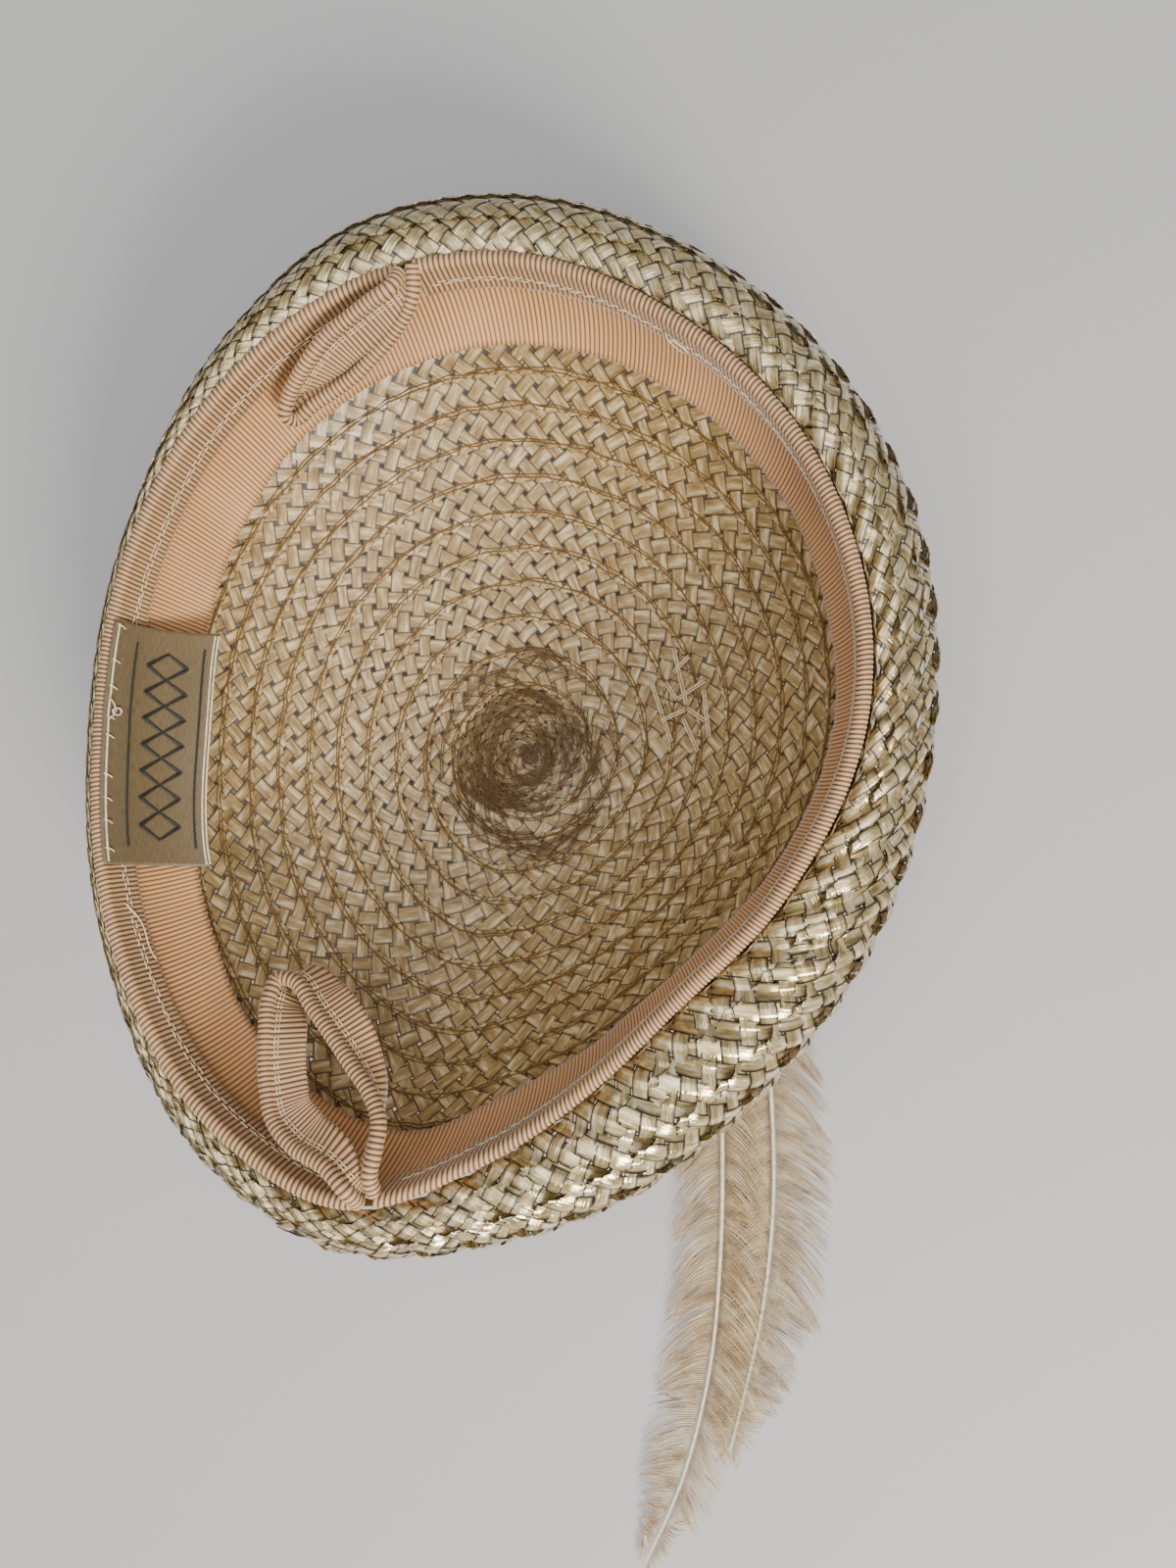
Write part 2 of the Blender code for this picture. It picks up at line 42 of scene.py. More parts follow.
# Sizes repeated from part.py, in metres
RIM_REACH = 0.1003
RIM_HEIGHT = 0.056
BUTTON_RADIUS = 0.016
STRAW = 0.0016
ROW_RELIEF = 0.0005
CROWN_ROWS = 13
BRIM_ROWS = 4
ROLL_WIDTH = 0.0215
ROLL_HEIGHT = 0.0135
ROLL_START = 120.0
ROLL_END = -28.0
FOOT_PULL = 0.5
WALL_PULL = 2.3
BAND_WIDTH = 0.0254
BAND_THICK = 0.0010
BAND_SLACK = 0.0060
SLACK_BEND = 1.5
PIPING_WIDTH = 0.0032
TAPE_WIDTH = 0.0100
TAPE_THICK = 0.0010
CORD_RISE = 0.0008
NEAR_LOOP = 0.0500
FAR_LOOP = 0.0440
LOOP_SPREAD = 0.0045
LABEL_LENGTH = 0.0508
LABEL_WIDTH = 0.0300
LABEL_THICK = 0.0010
LABEL_DIRECTION = 181.5
LABEL_STAND = 0.0040
LONG_PLUME = 0.2090
SHORT_PLUME = 0.1830
LONG_VANE = 0.0105
SHORT_VANE = 0.0120
QUILL_WIDTH = 0.0022
QUILL_HEIGHT = 0.0016
BARB_SLANT = 0.0090
SLANT_END = 0.25
LONG_TILT = 0.13
QUILL_DROP = (0.08, 0.30)
SEAM_GAP = 0.0003

# How finely the crown's wall is worked out
WALL_STEPS = 160
WALL_DIRECTIONS = 360

# The straw braid
BRAID_STRANDS = 4        # straws in the braid
BRAID_SPACING = 5.66 * MM  # between two folds on the braid's edge
BRIM_SPACING = 5.3 * MM
COIL_SPACING = 4.4 * MM
STRIP_WIDTH = 3.2 * MM   # a flattened straw's width
BRIM_STRIP = 3.36 * MM
COIL_STRIP = 2.5 * MM
STRIP_THICK = 0.11 * MM  # half thickness of a flattened straw at its middle
WEAVE_RISE = 0.17 * MM   # how far a straw rides over and under its neighbours
ROW_LAP = 1.42           # a row's width in row pitches, so that rows lap like shingles
SHINGLE = 0.50 * MM      # a row's inner edge stands this far above its middle
KNUCKLE_ROUND = 0.7 * MM
BRAID_MIDDLE = 0.95 * MM  # the braid's middle, inward from the wall's outside
FLUTE_DEPTH = 1.10 * MM  # half the depth of the brim's folds at the near front
COIL_PITCH = 4.0 * MM    # tight rows in the crown's button
COIL_ROWS = 5
SPIRAL_START = 200.0     # degrees: where the braid's spirals begin, at the back
FLUTE_FRONT = 320.0      # degrees: where the brim's straws are fluted most
CLOSE_FRONT = 325.0      # degrees: where the crown's straws lie closest together
FOLD_NARROWING = 0.42    # share of its width that a straw loses at a fold
SHARP_FOLD = 55.0        # degrees: sharper edges than this are shaded as edges
SEAM_PLACES = (-0.375, -0.320)  # the drawing thread's two runs, across a row
SEAM_STEP = 1.4 * MM     # between two points of its path
SEAM_RADIUS = 0.15 * MM

# The ribbons and their stitches
RIM_RADIUS = 0.0900      # the rim's mean radius
RIBS_ROUND = 518         # the sweatband's ribs
RIB_STEPS = 4            # points to a rib
RIB_PITCH = 1.08 * MM
RIB_RISE = 0.22 * MM     # a rib's height over its grooves
PIPING_ROUND = 18.0      # mm round the piping's section, for its texture
STITCH_PITCH = 2.6 * MM
STITCH_LENGTH = 1.9 * MM
STITCH_RADIUS = 0.13 * MM
STITCH_CLEAR = 2.0       # degrees: the rim's stitches stop this far before the piping's ends
RIM_STITCH_ROWS = (3.0 * MM, 4.0 * MM)    # below the rim
LOOP_STITCH_ROWS = (0.55 * MM, 1.25 * MM)  # beyond the cord
LABEL_KNOT = -0.25       # the knot's place along the label, from -1 to 1
WHIP_STITCHES = 9
DIAMONDS = 7
DIAMOND_MIDDLE = 0.56    # the diamonds' row and half height, as shares of the label's width
DIAMOND_REACH = 0.20
THREAD_RADIUS = 0.17 * MM  # the loose ends and the label's whip stitches

# The plumes' barbs and the fibres on the crown
BARB_SPACING = 0.50 * MM
BARB_WIDTH = 0.15 * MM   # half width at the root
BARB_THICK = 0.05 * MM   # half thickness
BARBS_BEGIN = 0.18       # share of the quill that is bare
STAR_STRAND = 0.30 * MM  # each stitch's two strands lie this far to either side
STAR_RADIUS = 0.24 * MM
STAR_CLEAR = 0.85 * MM   # above the braid's inside
FIBRE_RADIUS = 0.085 * MM

# The camera, as measured in the photo
FOCAL = 1250.0           # pixels
PHOTO_SIZE = (1200, 1600)
MIDDLE_PIXEL = (540, 770)  # the middle of the crown's spiral, which is the origin
CAMERA_DISTANCE = 0.303
CAMERA_LEAN = (10.5, 5.5)  # degrees from straight above, to the front and to the near side

# The star of stitches that holds the plumes: its middle in metres, and each stitch's two ends in mm from it
STAR = (0.0390, 0.0130)
STAR_STITCHES = (
    (-2.0, 10.6, 0.9, -2.9), (1.8, 8.3, -2.2, 4.7), (5.4, 2.2, -1.3, -1.6), (-4.2, 2.8, -1.4, -1.7),
    (-7.7, 3.4, -5.2, -4.7), (-5.2, -4.7, -2.9, -11.5), (0.5, -4.2, -5.7, -6.6), (0.9, -3.8, 5.4, -7.2),
    (5.2, 0.2, 6.3, -11.1), (0.0, -6.1, 3.6, -14.2),
)

# Sections round the rim: direction and the wall's flare in degrees, and shares of RIM_REACH, ROLL_WIDTH,
# ROLL_HEIGHT and BAND_SLACK
SECTION_COLUMNS = ("direction", "rim", "flare", "roll", "crest", "slack")
SECTIONS = (
    (0.0, 0.806, -8.0, 0.57, 0.85, 0.05),
    (30.0, 0.868, -9.0, 0.65, 0.90, 0.05),
    (60.0, 0.933, -9.0, 0.76, 0.95, 0.05),
    (90.0, 1.002, -4.0, 0.80, 0.90, 0.35),
    (104.0, 0.998, 0.0, 0.79, 0.85, 0.30),
    (120.0, 0.960, 0.0, 0.56, 0.80, 0.10),
    (150.0, 0.871, 3.0, 0.17, 0.60, 0.20),
    (180.0, 0.827, 5.0, 0.14, 0.50, 0.50),
    (210.0, 0.890, 5.0, 0.16, 0.55, 0.25),
    (240.0, 0.989, 5.0, 0.41, 0.75, 0.15),
    (256.0, 1.003, 6.0, 0.48, 0.80, 0.10),
    (272.0, 0.888, 4.0, 0.75, 0.90, 0.10),
    (288.0, 0.789, -1.0, 0.98, 1.00, 0.05),
    (305.0, 0.724, -5.5, 1.03, 1.00, 0.05),
    (330.0, 0.736, -6.0, 0.84, 0.95, 0.05),
)

# The pin loops' cords and their tapes' headings, as shares of each loop's length
LOOP_COLUMNS = ("along", "across", "lift", "tape_along", "tape_across", "tape_lift", "tape")
NEAR_LOOP_ROWS = (
    (0.01, 0.038, 0.00, 0.2, -0.3, -0.9, 0.05),
    (0.06, 0.032, 0.08, 0.3, -0.8, -0.6, 0.30),
    (0.18, 0.070, 0.09, 0.3, -1.0, -0.4, 0.75),
    (0.33, 0.175, 0.08, 0.2, -1.0, -0.3, 1.00),
    (0.46, 0.215, 0.07, 0.0, -1.0, -0.2, 1.00),
    (0.61, 0.190, 0.06, -0.1, -1.0, -0.2, 1.00),
    (0.81, 0.115, 0.05, -0.1, -1.0, -0.3, 1.00),
    (0.94, 0.055, 0.03, -0.3, -0.8, -0.9, 0.80),
    (1.00, 0.000, 0.00, -0.3, -0.3, -1.0, 0.70),
    (0.96, -0.055, 0.00, 0.3, -0.6, -0.9, 0.75),
    (0.81, -0.095, 0.01, 0.4, -1.0, -0.5, 0.95),
    (0.64, -0.135, 0.02, 0.3, -1.0, -0.5, 0.95),
    (0.50, -0.165, 0.03, 0.1, -0.7, -0.9, 0.85),
    (0.36, -0.195, 0.04, 0.0, 0.0, -1.0, 0.75),
    (0.25, -0.190, 0.05, 0.1, 0.5, -0.9, 0.65),
    (0.15, -0.130, 0.06, 0.2, 0.8, -0.7, 0.35),
    (0.07, -0.065, 0.05, 0.2, 0.8, -0.4, 0.10),
    (0.01, -0.038, 0.00, 0.2, 0.3, -0.9, 0.05),
)
FAR_LOOP_ROWS = (
    (0.03, -0.040, 0.00, 0.2, 0.4, 0.6, 0.05),
    (0.09, -0.100, 0.05, 0.2, 0.8, 0.6, 0.40),
    (0.21, -0.120, 0.03, 0.1, 0.8, 0.6, 0.90),
    (0.33, -0.130, 0.01, 0.0, 0.8, 0.6, 1.00),
    (0.48, -0.145, -0.01, 0.0, 0.8, 0.6, 1.00),
    (0.60, -0.155, 0.00, -0.1, 0.8, 0.5, 0.90),
    (0.73, -0.140, 0.01, -0.3, 0.7, 0.3, 0.60),
    (0.84, -0.120, 0.03, -0.4, 0.4, -0.2, 0.30),
    (0.93, -0.085, 0.07, -0.3, 0.1, -0.6, 0.20),
    (0.92, -0.045, 0.09, -0.1, 0.0, -1.0, 0.20),
    (0.81, -0.015, 0.10, 0.0, 0.0, -1.0, 0.25),
    (0.68, 0.015, 0.12, 0.0, 0.0, -1.0, 0.30),
    (0.54, 0.035, 0.14, 0.0, 0.1, -1.0, 0.35),
    (0.40, 0.045, 0.14, 0.0, 0.2, -1.0, 0.40),
    (0.28, 0.045, 0.14, 0.0, 0.3, -1.0, 0.35),
    (0.16, 0.030, 0.13, 0.1, 0.4, -0.9, 0.15),
    (0.06, 0.010, 0.10, 0.1, 0.7, -0.3, 0.04),
    (-0.04, -0.010, 0.01, 0.2, 0.7, 0.3, 0.02),
)
LOOPS = {
    "pin_loop_near": {"length": NEAR_LOOP, "rows": NEAR_LOOP_ROWS,
                      "place": 258.8, "heading": 119.5, "dip": 11.0, "roll": 0.0},
    "pin_loop_far": {"length": FAR_LOOP, "rows": FAR_LOOP_ROWS,
                     "place": 98.0, "heading": 217.0, "dip": 16.0, "roll": 95.0},
}

# The plumes' quills and vanes, as shares of each plume's length and vane
PLUME_COLUMNS = ("along", "plan_x", "plan_y", "back_vane", "front_vane")
LONG_PLUME_ROWS = (
    (0.00, 0.000, 0.000, 0.00, 0.00),
    (0.20, 0.024, -0.200, 0.10, 0.10),
    (0.36, 0.038, -0.360, 0.60, 0.55),
    (0.50, 0.042, -0.500, 0.95, 0.90),
    (0.64, 0.039, -0.640, 1.00, 0.95),
    (0.78, 0.024, -0.775, 0.98, 0.90),
    (0.90, -0.008, -0.891, 0.72, 0.66),
    (1.00, -0.050, -0.981, 0.10, 0.10),
)
SHORT_PLUME_ROWS = (
    (0.00, 0.000, 0.000, 0.00, 0.00),
    (0.20, 0.035, -0.197, 0.10, 0.10),
    (0.38, 0.062, -0.375, 0.60, 0.70),
    (0.54, 0.077, -0.535, 0.85, 1.00),
    (0.68, 0.078, -0.675, 0.90, 1.00),
    (0.82, 0.061, -0.814, 0.80, 0.90),
    (0.93, 0.036, -0.919, 0.50, 0.60),
    (1.00, 0.018, -0.986, 0.10, 0.10),
)
PLUMES = {
    "plume_long": {"rows": LONG_PLUME_ROWS, "length": LONG_PLUME, "vane": LONG_VANE, "tilt": LONG_TILT,
                   "held": (0.379, 0.177)},
    "plume_short": {"rows": SHORT_PLUME_ROWS, "length": SHORT_PLUME, "vane": SHORT_VANE, "tilt": 0.0,
                    "held": (0.438, 0.182)},
}


# Numbers and noise

def column(rows, names, name):
    """One named column of a table, as an array."""
    return np.array([row[names.index(name)] for row in rows], float)


def through(knots, values, at, period=None):
    """A smooth curve through a table: cubic Hermite pieces whose slopes come from both neighbours."""
    x = np.asarray(knots, float)
    y = np.asarray(values, float)
    at = np.asarray(at, float)
    if period is None:
        x = np.concatenate([[2 * x[0] - x[1]], x, [2 * x[-1] - x[-2]]])
        y = np.concatenate([[2 * y[0] - y[1]], y, [2 * y[-1] - y[-2]]])
    else:
        at = (at - x[0]) % period + x[0]
        x = np.concatenate([x[-2:] - period, x, x[:2] + period])
        y = np.concatenate([y[-2:], y, y[:2]])
    slope = np.gradient(y, x)
    i = np.clip(np.searchsorted(x, at, side="right") - 1, 0, len(x) - 2)
    width = x[i + 1] - x[i]
    t = (at - x[i]) / width
    return (
        (2 * t**3 - 3 * t**2 + 1) * y[i]
        + (t**3 - 2 * t**2 + t) * width * slope[i]
        + (3 * t**2 - 2 * t**3) * y[i + 1]
        + (t**3 - t**2) * width * slope[i + 1]
    )


def section(name, direction):
    """One column of the sections, read smoothly at directions in degrees."""
    knots = column(SECTIONS, SECTION_COLUMNS, "direction")
    return through(knots, column(SECTIONS, SECTION_COLUMNS, name), direction, 360.0)


def drift(rng, rows, at, pitch, size):
    """Smooth random values for each row: a random value every pitch of at, joined by cosine steps."""
    count = int(np.max(at) / pitch) + 3
    knots = rng.normal(0.0, size, (rows, count))
    place = np.asarray(at, float) / pitch
    i = np.clip(place.astype(int), 0, count - 2)
    f = 0.5 - 0.5 * np.cos(np.pi * (place - i))
    return knots[:, i] * (1.0 - f) + knots[:, i + 1] * f


def unit(vectors):
    """Vectors scaled to length one."""
    return vectors / np.maximum(np.linalg.norm(vectors, axis=-1, keepdims=True), 1e-12)


# Meshes

def piece(name, points, faces, finish, uv=None, node=None, slot=None, sharp=False):
    """A piece of the hat from points (n, 3) and arrays of faces (m, corners), turned to face outward."""
    points = np.asarray(points, float).reshape(-1, 3)
    faces = [np.asarray(f) for f in faces]
    volume = 0.0
    for f in faces:
        a = points[f[:, 0]]
        for k in range(1, f.shape[1] - 1):
            volume += np.einsum("ij,ij->i", a, np.cross(points[f[:, k]], points[f[:, k + 1]])).sum()
    if volume < 0.0:
        faces = [f[:, ::-1] for f in faces]
    loops = np.concatenate([f.ravel() for f in faces])
    sizes = np.concatenate([np.full(len(f), f.shape[1]) for f in faces])
    mesh = bpy.data.meshes.new(name)
    mesh.vertices.add(len(points))
    mesh.vertices.foreach_set("co", points.ravel())
    mesh.loops.add(len(loops))
    mesh.loops.foreach_set("vertex_index", loops.astype(np.int32))
    mesh.polygons.add(len(sizes))
    mesh.polygons.foreach_set("loop_start", np.concatenate([[0], np.cumsum(sizes)[:-1]]).astype(np.int32))
    if uv is not None:
        layer = mesh.uv_layers.new(name="along_across")
        layer.data.foreach_set("uv", np.asarray(uv, np.float32).reshape(-1, 2)[loops].ravel())
    mesh.update(calc_edges=True)
    mesh.validate()
    mesh.shade_smooth()
    if sharp:
        mesh.set_sharp_from_angle(angle=math.radians(SHARP_FOLD))
    mesh.materials.append(finish)
    obj = bpy.data.objects.new(name, mesh)
    bpy.context.scene.collection.objects.link(obj)
    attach(obj, "root")
    for one in [node] if isinstance(node, str) else node or []:
        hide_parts(one)
    return obj


def paired(along, across):
    """Texture coordinates: along a piece and across it, for all its points."""
    return np.stack(np.broadcast_arrays(along, across), axis=-1)


def tube_faces(tubes, stations, corners, joined=False):
    """Faces of many equal tubes: quads between rings, and flat ends unless each tube joins itself."""
    steps = stations if joined else stations - 1
    m, i, j = np.meshgrid(np.arange(tubes), np.arange(steps), np.arange(corners), indexing="ij")
    here = (m * stations + i) * corners
    next_ring = (m * stations + (i + 1) % stations) * corners
    beside = (j + 1) % corners
    quads = np.stack([here + j, here + beside, next_ring + beside, next_ring + j], axis=-1).reshape(-1, 4)
    if joined:
        return [quads]
    ends = np.arange(tubes)[:, None] * stations * corners + np.arange(corners)
    return [quads, ends[:, ::-1], ends + (stations - 1) * corners]


def frames(points, up):
    """Tangent, side and up along paths (..., stations, 3), with up kept square to the path."""
    run = unit(np.gradient(points, axis=-2))
    up = np.broadcast_to(up, points.shape)
    side = unit(np.cross(run, up))
    return run, side, np.cross(side, run)


def threads(name, paths, radius, finish, corners=5, up=(0.0, 0.0, 1.0), **words):
    """Round threads of one radius along paths (threads, stations, 3), joined in one piece."""
    paths = np.asarray(paths, float)
    _, side, top = frames(paths, up)
    turn = 2 * np.pi * np.arange(corners) / corners
    size = np.broadcast_to(np.asarray(radius, float), paths.shape[:-1])[..., None, None]
    rings = paths[..., None, :] + size * (
        side[..., None, :] * np.cos(turn)[:, None] + top[..., None, :] * np.sin(turn)[:, None]
    )
    steps = np.linalg.norm(np.diff(paths, axis=-2), axis=-1)
    length = np.concatenate([np.zeros(paths.shape[:-2] + (1,)), np.cumsum(steps, axis=-1)], axis=-1)
    uv = paired(length[..., None] / MM, turn / (2 * np.pi))
    return piece(name, rings, tube_faces(paths.shape[0], paths.shape[1], corners), finish, uv=uv, **words)


# The crown's wall and the rolled brim, as in part.py

def wall_tables():
    """The crown's outer profile for every degree, evenly spaced in depth from the rim to the button.

    With t from 0 at the button to 1 at the rim: rise = 3t² - 2t³, leave = t³ - 2t² + t, arrive = t³ - t²;
    reach = button + rise·run + leave·foot·run + arrive·pull·sin(flare),
    height = rise·H + arrive·pull·cos(flare).
    """
    direction = np.arange(WALL_DIRECTIONS + 1.0)[:, None]
    t = np.linspace(1.0, 0.0, WALL_STEPS)[None, :]
    flare = np.radians(section("flare", direction))
    run = RIM_REACH * section("rim", direction) - BUTTON_RADIUS
    rise = 3 * t**2 - 2 * t**3
    leave = t**3 - 2 * t**2 + t
    arrive = t**3 - t**2
    pull = WALL_PULL * RIM_HEIGHT
    reach = BUTTON_RADIUS + rise * run + leave * FOOT_PULL * run + arrive * pull * np.sin(flare)
    height = rise * RIM_HEIGHT + arrive * pull * np.cos(flare)
    step = np.hypot(np.diff(reach, axis=1), np.diff(height, axis=1))
    depth = np.concatenate([np.zeros((len(reach), 1)), np.cumsum(step, axis=1)], axis=1)
    share = np.linspace(0.0, 1.0, WALL_STEPS)
    even = np.array([
        [np.interp(share * d[-1], d, r), np.interp(share * d[-1], d, h)]
        for d, r, h in zip(depth, reach, height)
    ])
    lean = unit(np.gradient(even, axis=2).transpose(0, 2, 1))
    return even[:, 0], even[:, 1], lean[..., 0], lean[..., 1], depth[:, -1]


WALL_REACH, WALL_HEIGHT, LEAN_REACH, LEAN_HEIGHT, WALL_DEPTH = wall_tables()


def wall_depth(direction):
    """The wall's whole depth from the rim to the button at directions in degrees."""
    return np.interp(np.asarray(direction, float) % 360.0, np.arange(WALL_DIRECTIONS + 1.0), WALL_DEPTH)


def wall(direction, below, inward):
    """Points at a depth below the rim along the crown's wall, and at a distance inward from its outside.

    The tables are read with bilinear weights; above the rim the wall goes on straight, and past its whole
    depth the flat button goes on to the middle.
    """
    given = (np.asarray(v, float) for v in (direction, below, inward))
    direction, below, inward = np.broadcast_arrays(*given)
    angle = direction % 360.0
    i = np.minimum(angle.astype(int), WALL_DIRECTIONS - 1)
    f = angle - i
    whole = wall_depth(direction)
    place = np.clip(below / whole, 0.0, 1.0) * (WALL_STEPS - 1)
    j = np.minimum(place.astype(int), WALL_STEPS - 2)
    g = place - j

    def read(table):
        low = table[i, j] * (1 - g) + table[i, j + 1] * g
        high = table[i + 1, j] * (1 - g) + table[i + 1, j + 1] * g
        return low * (1 - f) + high * f

    lean_r, lean_z = read(LEAN_REACH), read(LEAN_HEIGHT)
    size = np.hypot(lean_r, lean_z)
    lean_r, lean_z = lean_r / size, lean_z / size
    above = np.minimum(below, 0.0)
    past = np.maximum(below - whole, 0.0)
    r = read(WALL_REACH) + above * lean_r - past + inward * lean_z
    z = read(WALL_HEIGHT) + above * lean_z - inward * lean_r
    turn = np.radians(direction)
    return np.stack([r * np.cos(turn), r * np.sin(turn), z], axis=-1)


def band_slack(direction, below):
    """How far the sweatband hangs off the wall at a depth below the rim."""
    share = np.clip(np.asarray(below, float) / BAND_WIDTH, 0.0, 1.0)
    return BAND_SLACK * section("slack", direction) * share**SLACK_BEND


def on_band(direction, below, inward):
    """Points at a depth below the rim, inward from the wall plus the sweatband's slack there."""
    return wall(direction, below, inward + band_slack(direction, below))


def roll(direction, turn, sunk):
    """Points of the rolled brim: on an upright oval beside the rim, from the rim over the top and down."""
    given = (np.asarray(v, float) for v in (direction, turn, sunk))
    direction, turn, sunk = np.broadcast_arrays(*given)
    start = math.radians(ROLL_START)
    wide = ROLL_WIDTH * section("roll", direction) / (1.0 - math.cos(start))
    tall = ROLL_HEIGHT * section("crest", direction)
    t = np.radians(turn)
    r = RIM_REACH * section("rim", direction) + SEAM_GAP + (wide - sunk) * np.cos(t) - wide * math.cos(start)
    z = RIM_HEIGHT - CORD_RISE + (tall - sunk) * np.sin(t) - tall * math.sin(start)
    a = np.radians(direction)
    return np.stack([r * np.cos(a), r * np.sin(a), z], axis=-1)


# Plaited straw

def course(turn, rows):
    """A spiral's place across its rows: flat for half a turn, then one row a turn, then flat again."""
    return 0.5 + np.clip(turn - 0.5, 0.0, rows - 1.0)


def spiral_length(place, rows):
    """The length along a spiral's middle, measured every half degree: turns and metres."""
    turns = np.linspace(0.0, rows, rows * 720 + 1)
    path = place(turns, 0.0, 0.0)
    return turns, np.concatenate([[0.0], np.cumsum(np.linalg.norm(np.diff(path, axis=0), axis=1))])


def plait(name, finish, place, rows, seed, spacing=BRAID_SPACING, strip=STRIP_WIDTH,
          flute=None, close=0.0, **words):
    """A flat braid along a spiral: every straw runs slantwise across it, folds at its edge and runs back.

    In the braid's plane (x along, y across) each straw is a triangle wave, and the next is one spacing on.
    Its height is -rise·cos(2πy/spacing) on its way out and the opposite on its way back, so straws pass over
    and under. Rulings turn from square to the straw to along the edge towards a fold, which keeps the straw
    flat there. flute(turns) is the depth of a wave that follows the straws, and close widens them towards
    CLOSE_FRONT. place(turns, across, lift) lays the plane on the hat.
    """
    rng = np.random.default_rng(seed)
    n = BRAID_STRANDS
    width = n * spacing / 2
    turns, run = spiral_length(place, rows)
    half = np.array([0.0, 0.05, 0.15, 0.3, 0.5, 0.7, 0.86, 1.0, 1.14, 1.3, 1.5, 1.7, 1.85, 1.95])
    halves = int(run[-1] / width) - 2
    u = (np.arange(halves)[:, None] * (n / 2) + half).ravel()
    falling = np.repeat(np.arange(halves) % 2, len(half))
    sign = np.where(falling == 1, 1.0, -1.0)
    y = spacing * np.minimum(u % n, n - u % n)
    edge = np.minimum(y, width - y)
    outward = np.where(y < width / 2, -1.0, 1.0)
    open_share = np.sin(np.clip(edge / (0.10 * spacing), 0.0, 1.0) * np.pi / 2)
    fold = np.clip(1.0 - edge * math.sqrt(2.0) / (0.8 * strip), 0.0, 1.0)
    x = (u + np.arange(n)[:, None]) * spacing
    along = u * spacing
    x = x + drift(rng, n, along, 6 * MM, 0.13 * MM)
    wide = 0.5 * strip * (1.0 + drift(rng, n, along, 5 * MM, 0.08)) * (1.0 - FOLD_NARROWING * fold**2)
    near_front = np.cos(np.radians(np.interp(x, run, turns) * 360.0 + SPIRAL_START - CLOSE_FRONT))
    wide = wide * (1.0 + close * np.clip(0.3 + near_front, 0.0, 1.0))
    lean = drift(rng, n, along, 4.5 * MM, 0.045)
    heave = drift(rng, n, along, 7 * MM, 0.05 * MM)
    middle = sign * open_share * WEAVE_RISE * np.cos(2 * np.pi * y / spacing) + heave
    r2 = 1 / math.sqrt(2.0)
    step_x = (fold + 1.0) * r2
    step_y = (fold - 1.0) * r2 * -sign
    xs, ys, hs = [], [], []
    for across, thick in ((1.0, 0.0), (0.0, 1.0), (-1.0, 0.0), (0.0, -1.0)):
        xs.append(x + across * wide * step_x)
        ys.append(
            y + across * wide * step_y - outward * KNUCKLE_ROUND * fold**2 * abs(across)
            + thick * STRIP_THICK * outward * np.sqrt(1 - open_share**2)
        )
        hs.append(middle + across * wide * lean + thick * STRIP_THICK * sign * open_share)
    xs, ys, hs = (np.stack(v, axis=-1) for v in (xs, ys, hs))
    at = np.interp(xs, run, turns)
    if flute is not None:
        wave = np.cos(np.pi * (xs - ys) / spacing)
        hs = hs + flute(at) * wave * (1.0 - 0.35 * wave)
    points = place(at, (ys / width - 0.5), hs)
    shifted = along[None, :, None] + np.arange(n)[:, None, None] * 0.37
    uv = paired(shifted / MM, np.array([0.0, 0.5, 1.0, 0.5]))
    return piece(name, points, tube_faces(n, len(u), 4), finish, uv=uv, sharp=True, **words)


def seam_threads(name, finish, place, rows, first, seed, **words):
    """The braid's drawing thread, twice along each row's inner edge, swaying and dipping between knuckles."""
    rng = np.random.default_rng(seed)
    turns, run = spiral_length(place, rows)
    along = np.arange(first, run[-1] - 2 * MM, SEAM_STEP)
    at = np.interp(along, run, turns)
    paths = []
    for offset in SEAM_PLACES:
        sway = drift(rng, 1, along, 3.2 * MM, 0.022)[0]
        dip = 0.10 * MM * np.cos(2 * np.pi * along / BRAID_SPACING)
        paths.append(place(at, offset + sway, WEAVE_RISE + 0.16 * MM + dip))
    return threads(name, paths, SEAM_RADIUS, finish, corners=5, **words)


def crown_place(turns, across, lift):
    """The crown's braid: turns round the spiral, across in row widths, lift towards the hollow."""
    direction = turns * 360.0 + SPIRAL_START
    whole = wall_depth(direction)
    pitch = (whole - 1 * MM) / CROWN_ROWS
    row = course(turns, CROWN_ROWS) + across * ROW_LAP
    below = whole - row * pitch
    return wall(direction, below, BRAID_MIDDLE + lift - 2 * SHINGLE * across)


def brim_place(turns, across, lift):
    """The rolled brim's braid: turns round the spiral, across in row widths, lift off the roll."""
    direction = turns * 360.0 + SPIRAL_START
    row = course(turns, BRIM_ROWS) + across * ROW_LAP
    turn = ROLL_START + 4.0 + (ROLL_END - ROLL_START - 4.0) * row / BRIM_ROWS
    return roll(direction, turn, BRAID_MIDDLE - lift + 2 * SHINGLE * across)


def coil_place(turns, across, lift):
    """The button's tight coil: turns from its middle out to under the crown's first row."""
    pitch = COIL_PITCH
    direction = turns * 360.0 + SPIRAL_START
    out = (turns + 0.02) * pitch + across * ROW_LAP * pitch
    below = wall_depth(direction) + BUTTON_RADIUS - out
    return wall(direction, below, BRAID_MIDDLE + lift - 2 * SHINGLE * across)


def brim_flute(turns):
    """How deep the brim's straws are fluted: most at the near front, none at the back."""
    angle = np.radians(turns * 360.0 + SPIRAL_START - FLUTE_FRONT)
    return FLUTE_DEPTH * np.clip(0.35 + 0.9 * np.cos(angle), 0.0, 1.0)


# Grosgrain: the sweatband, the wired piping and its loops

def rib(along):
    """Ribs of grosgrain: rounded tops with narrow grooves, 0 to 1."""
    return np.abs(np.sin(np.pi * along / RIB_PITCH)) ** 0.8


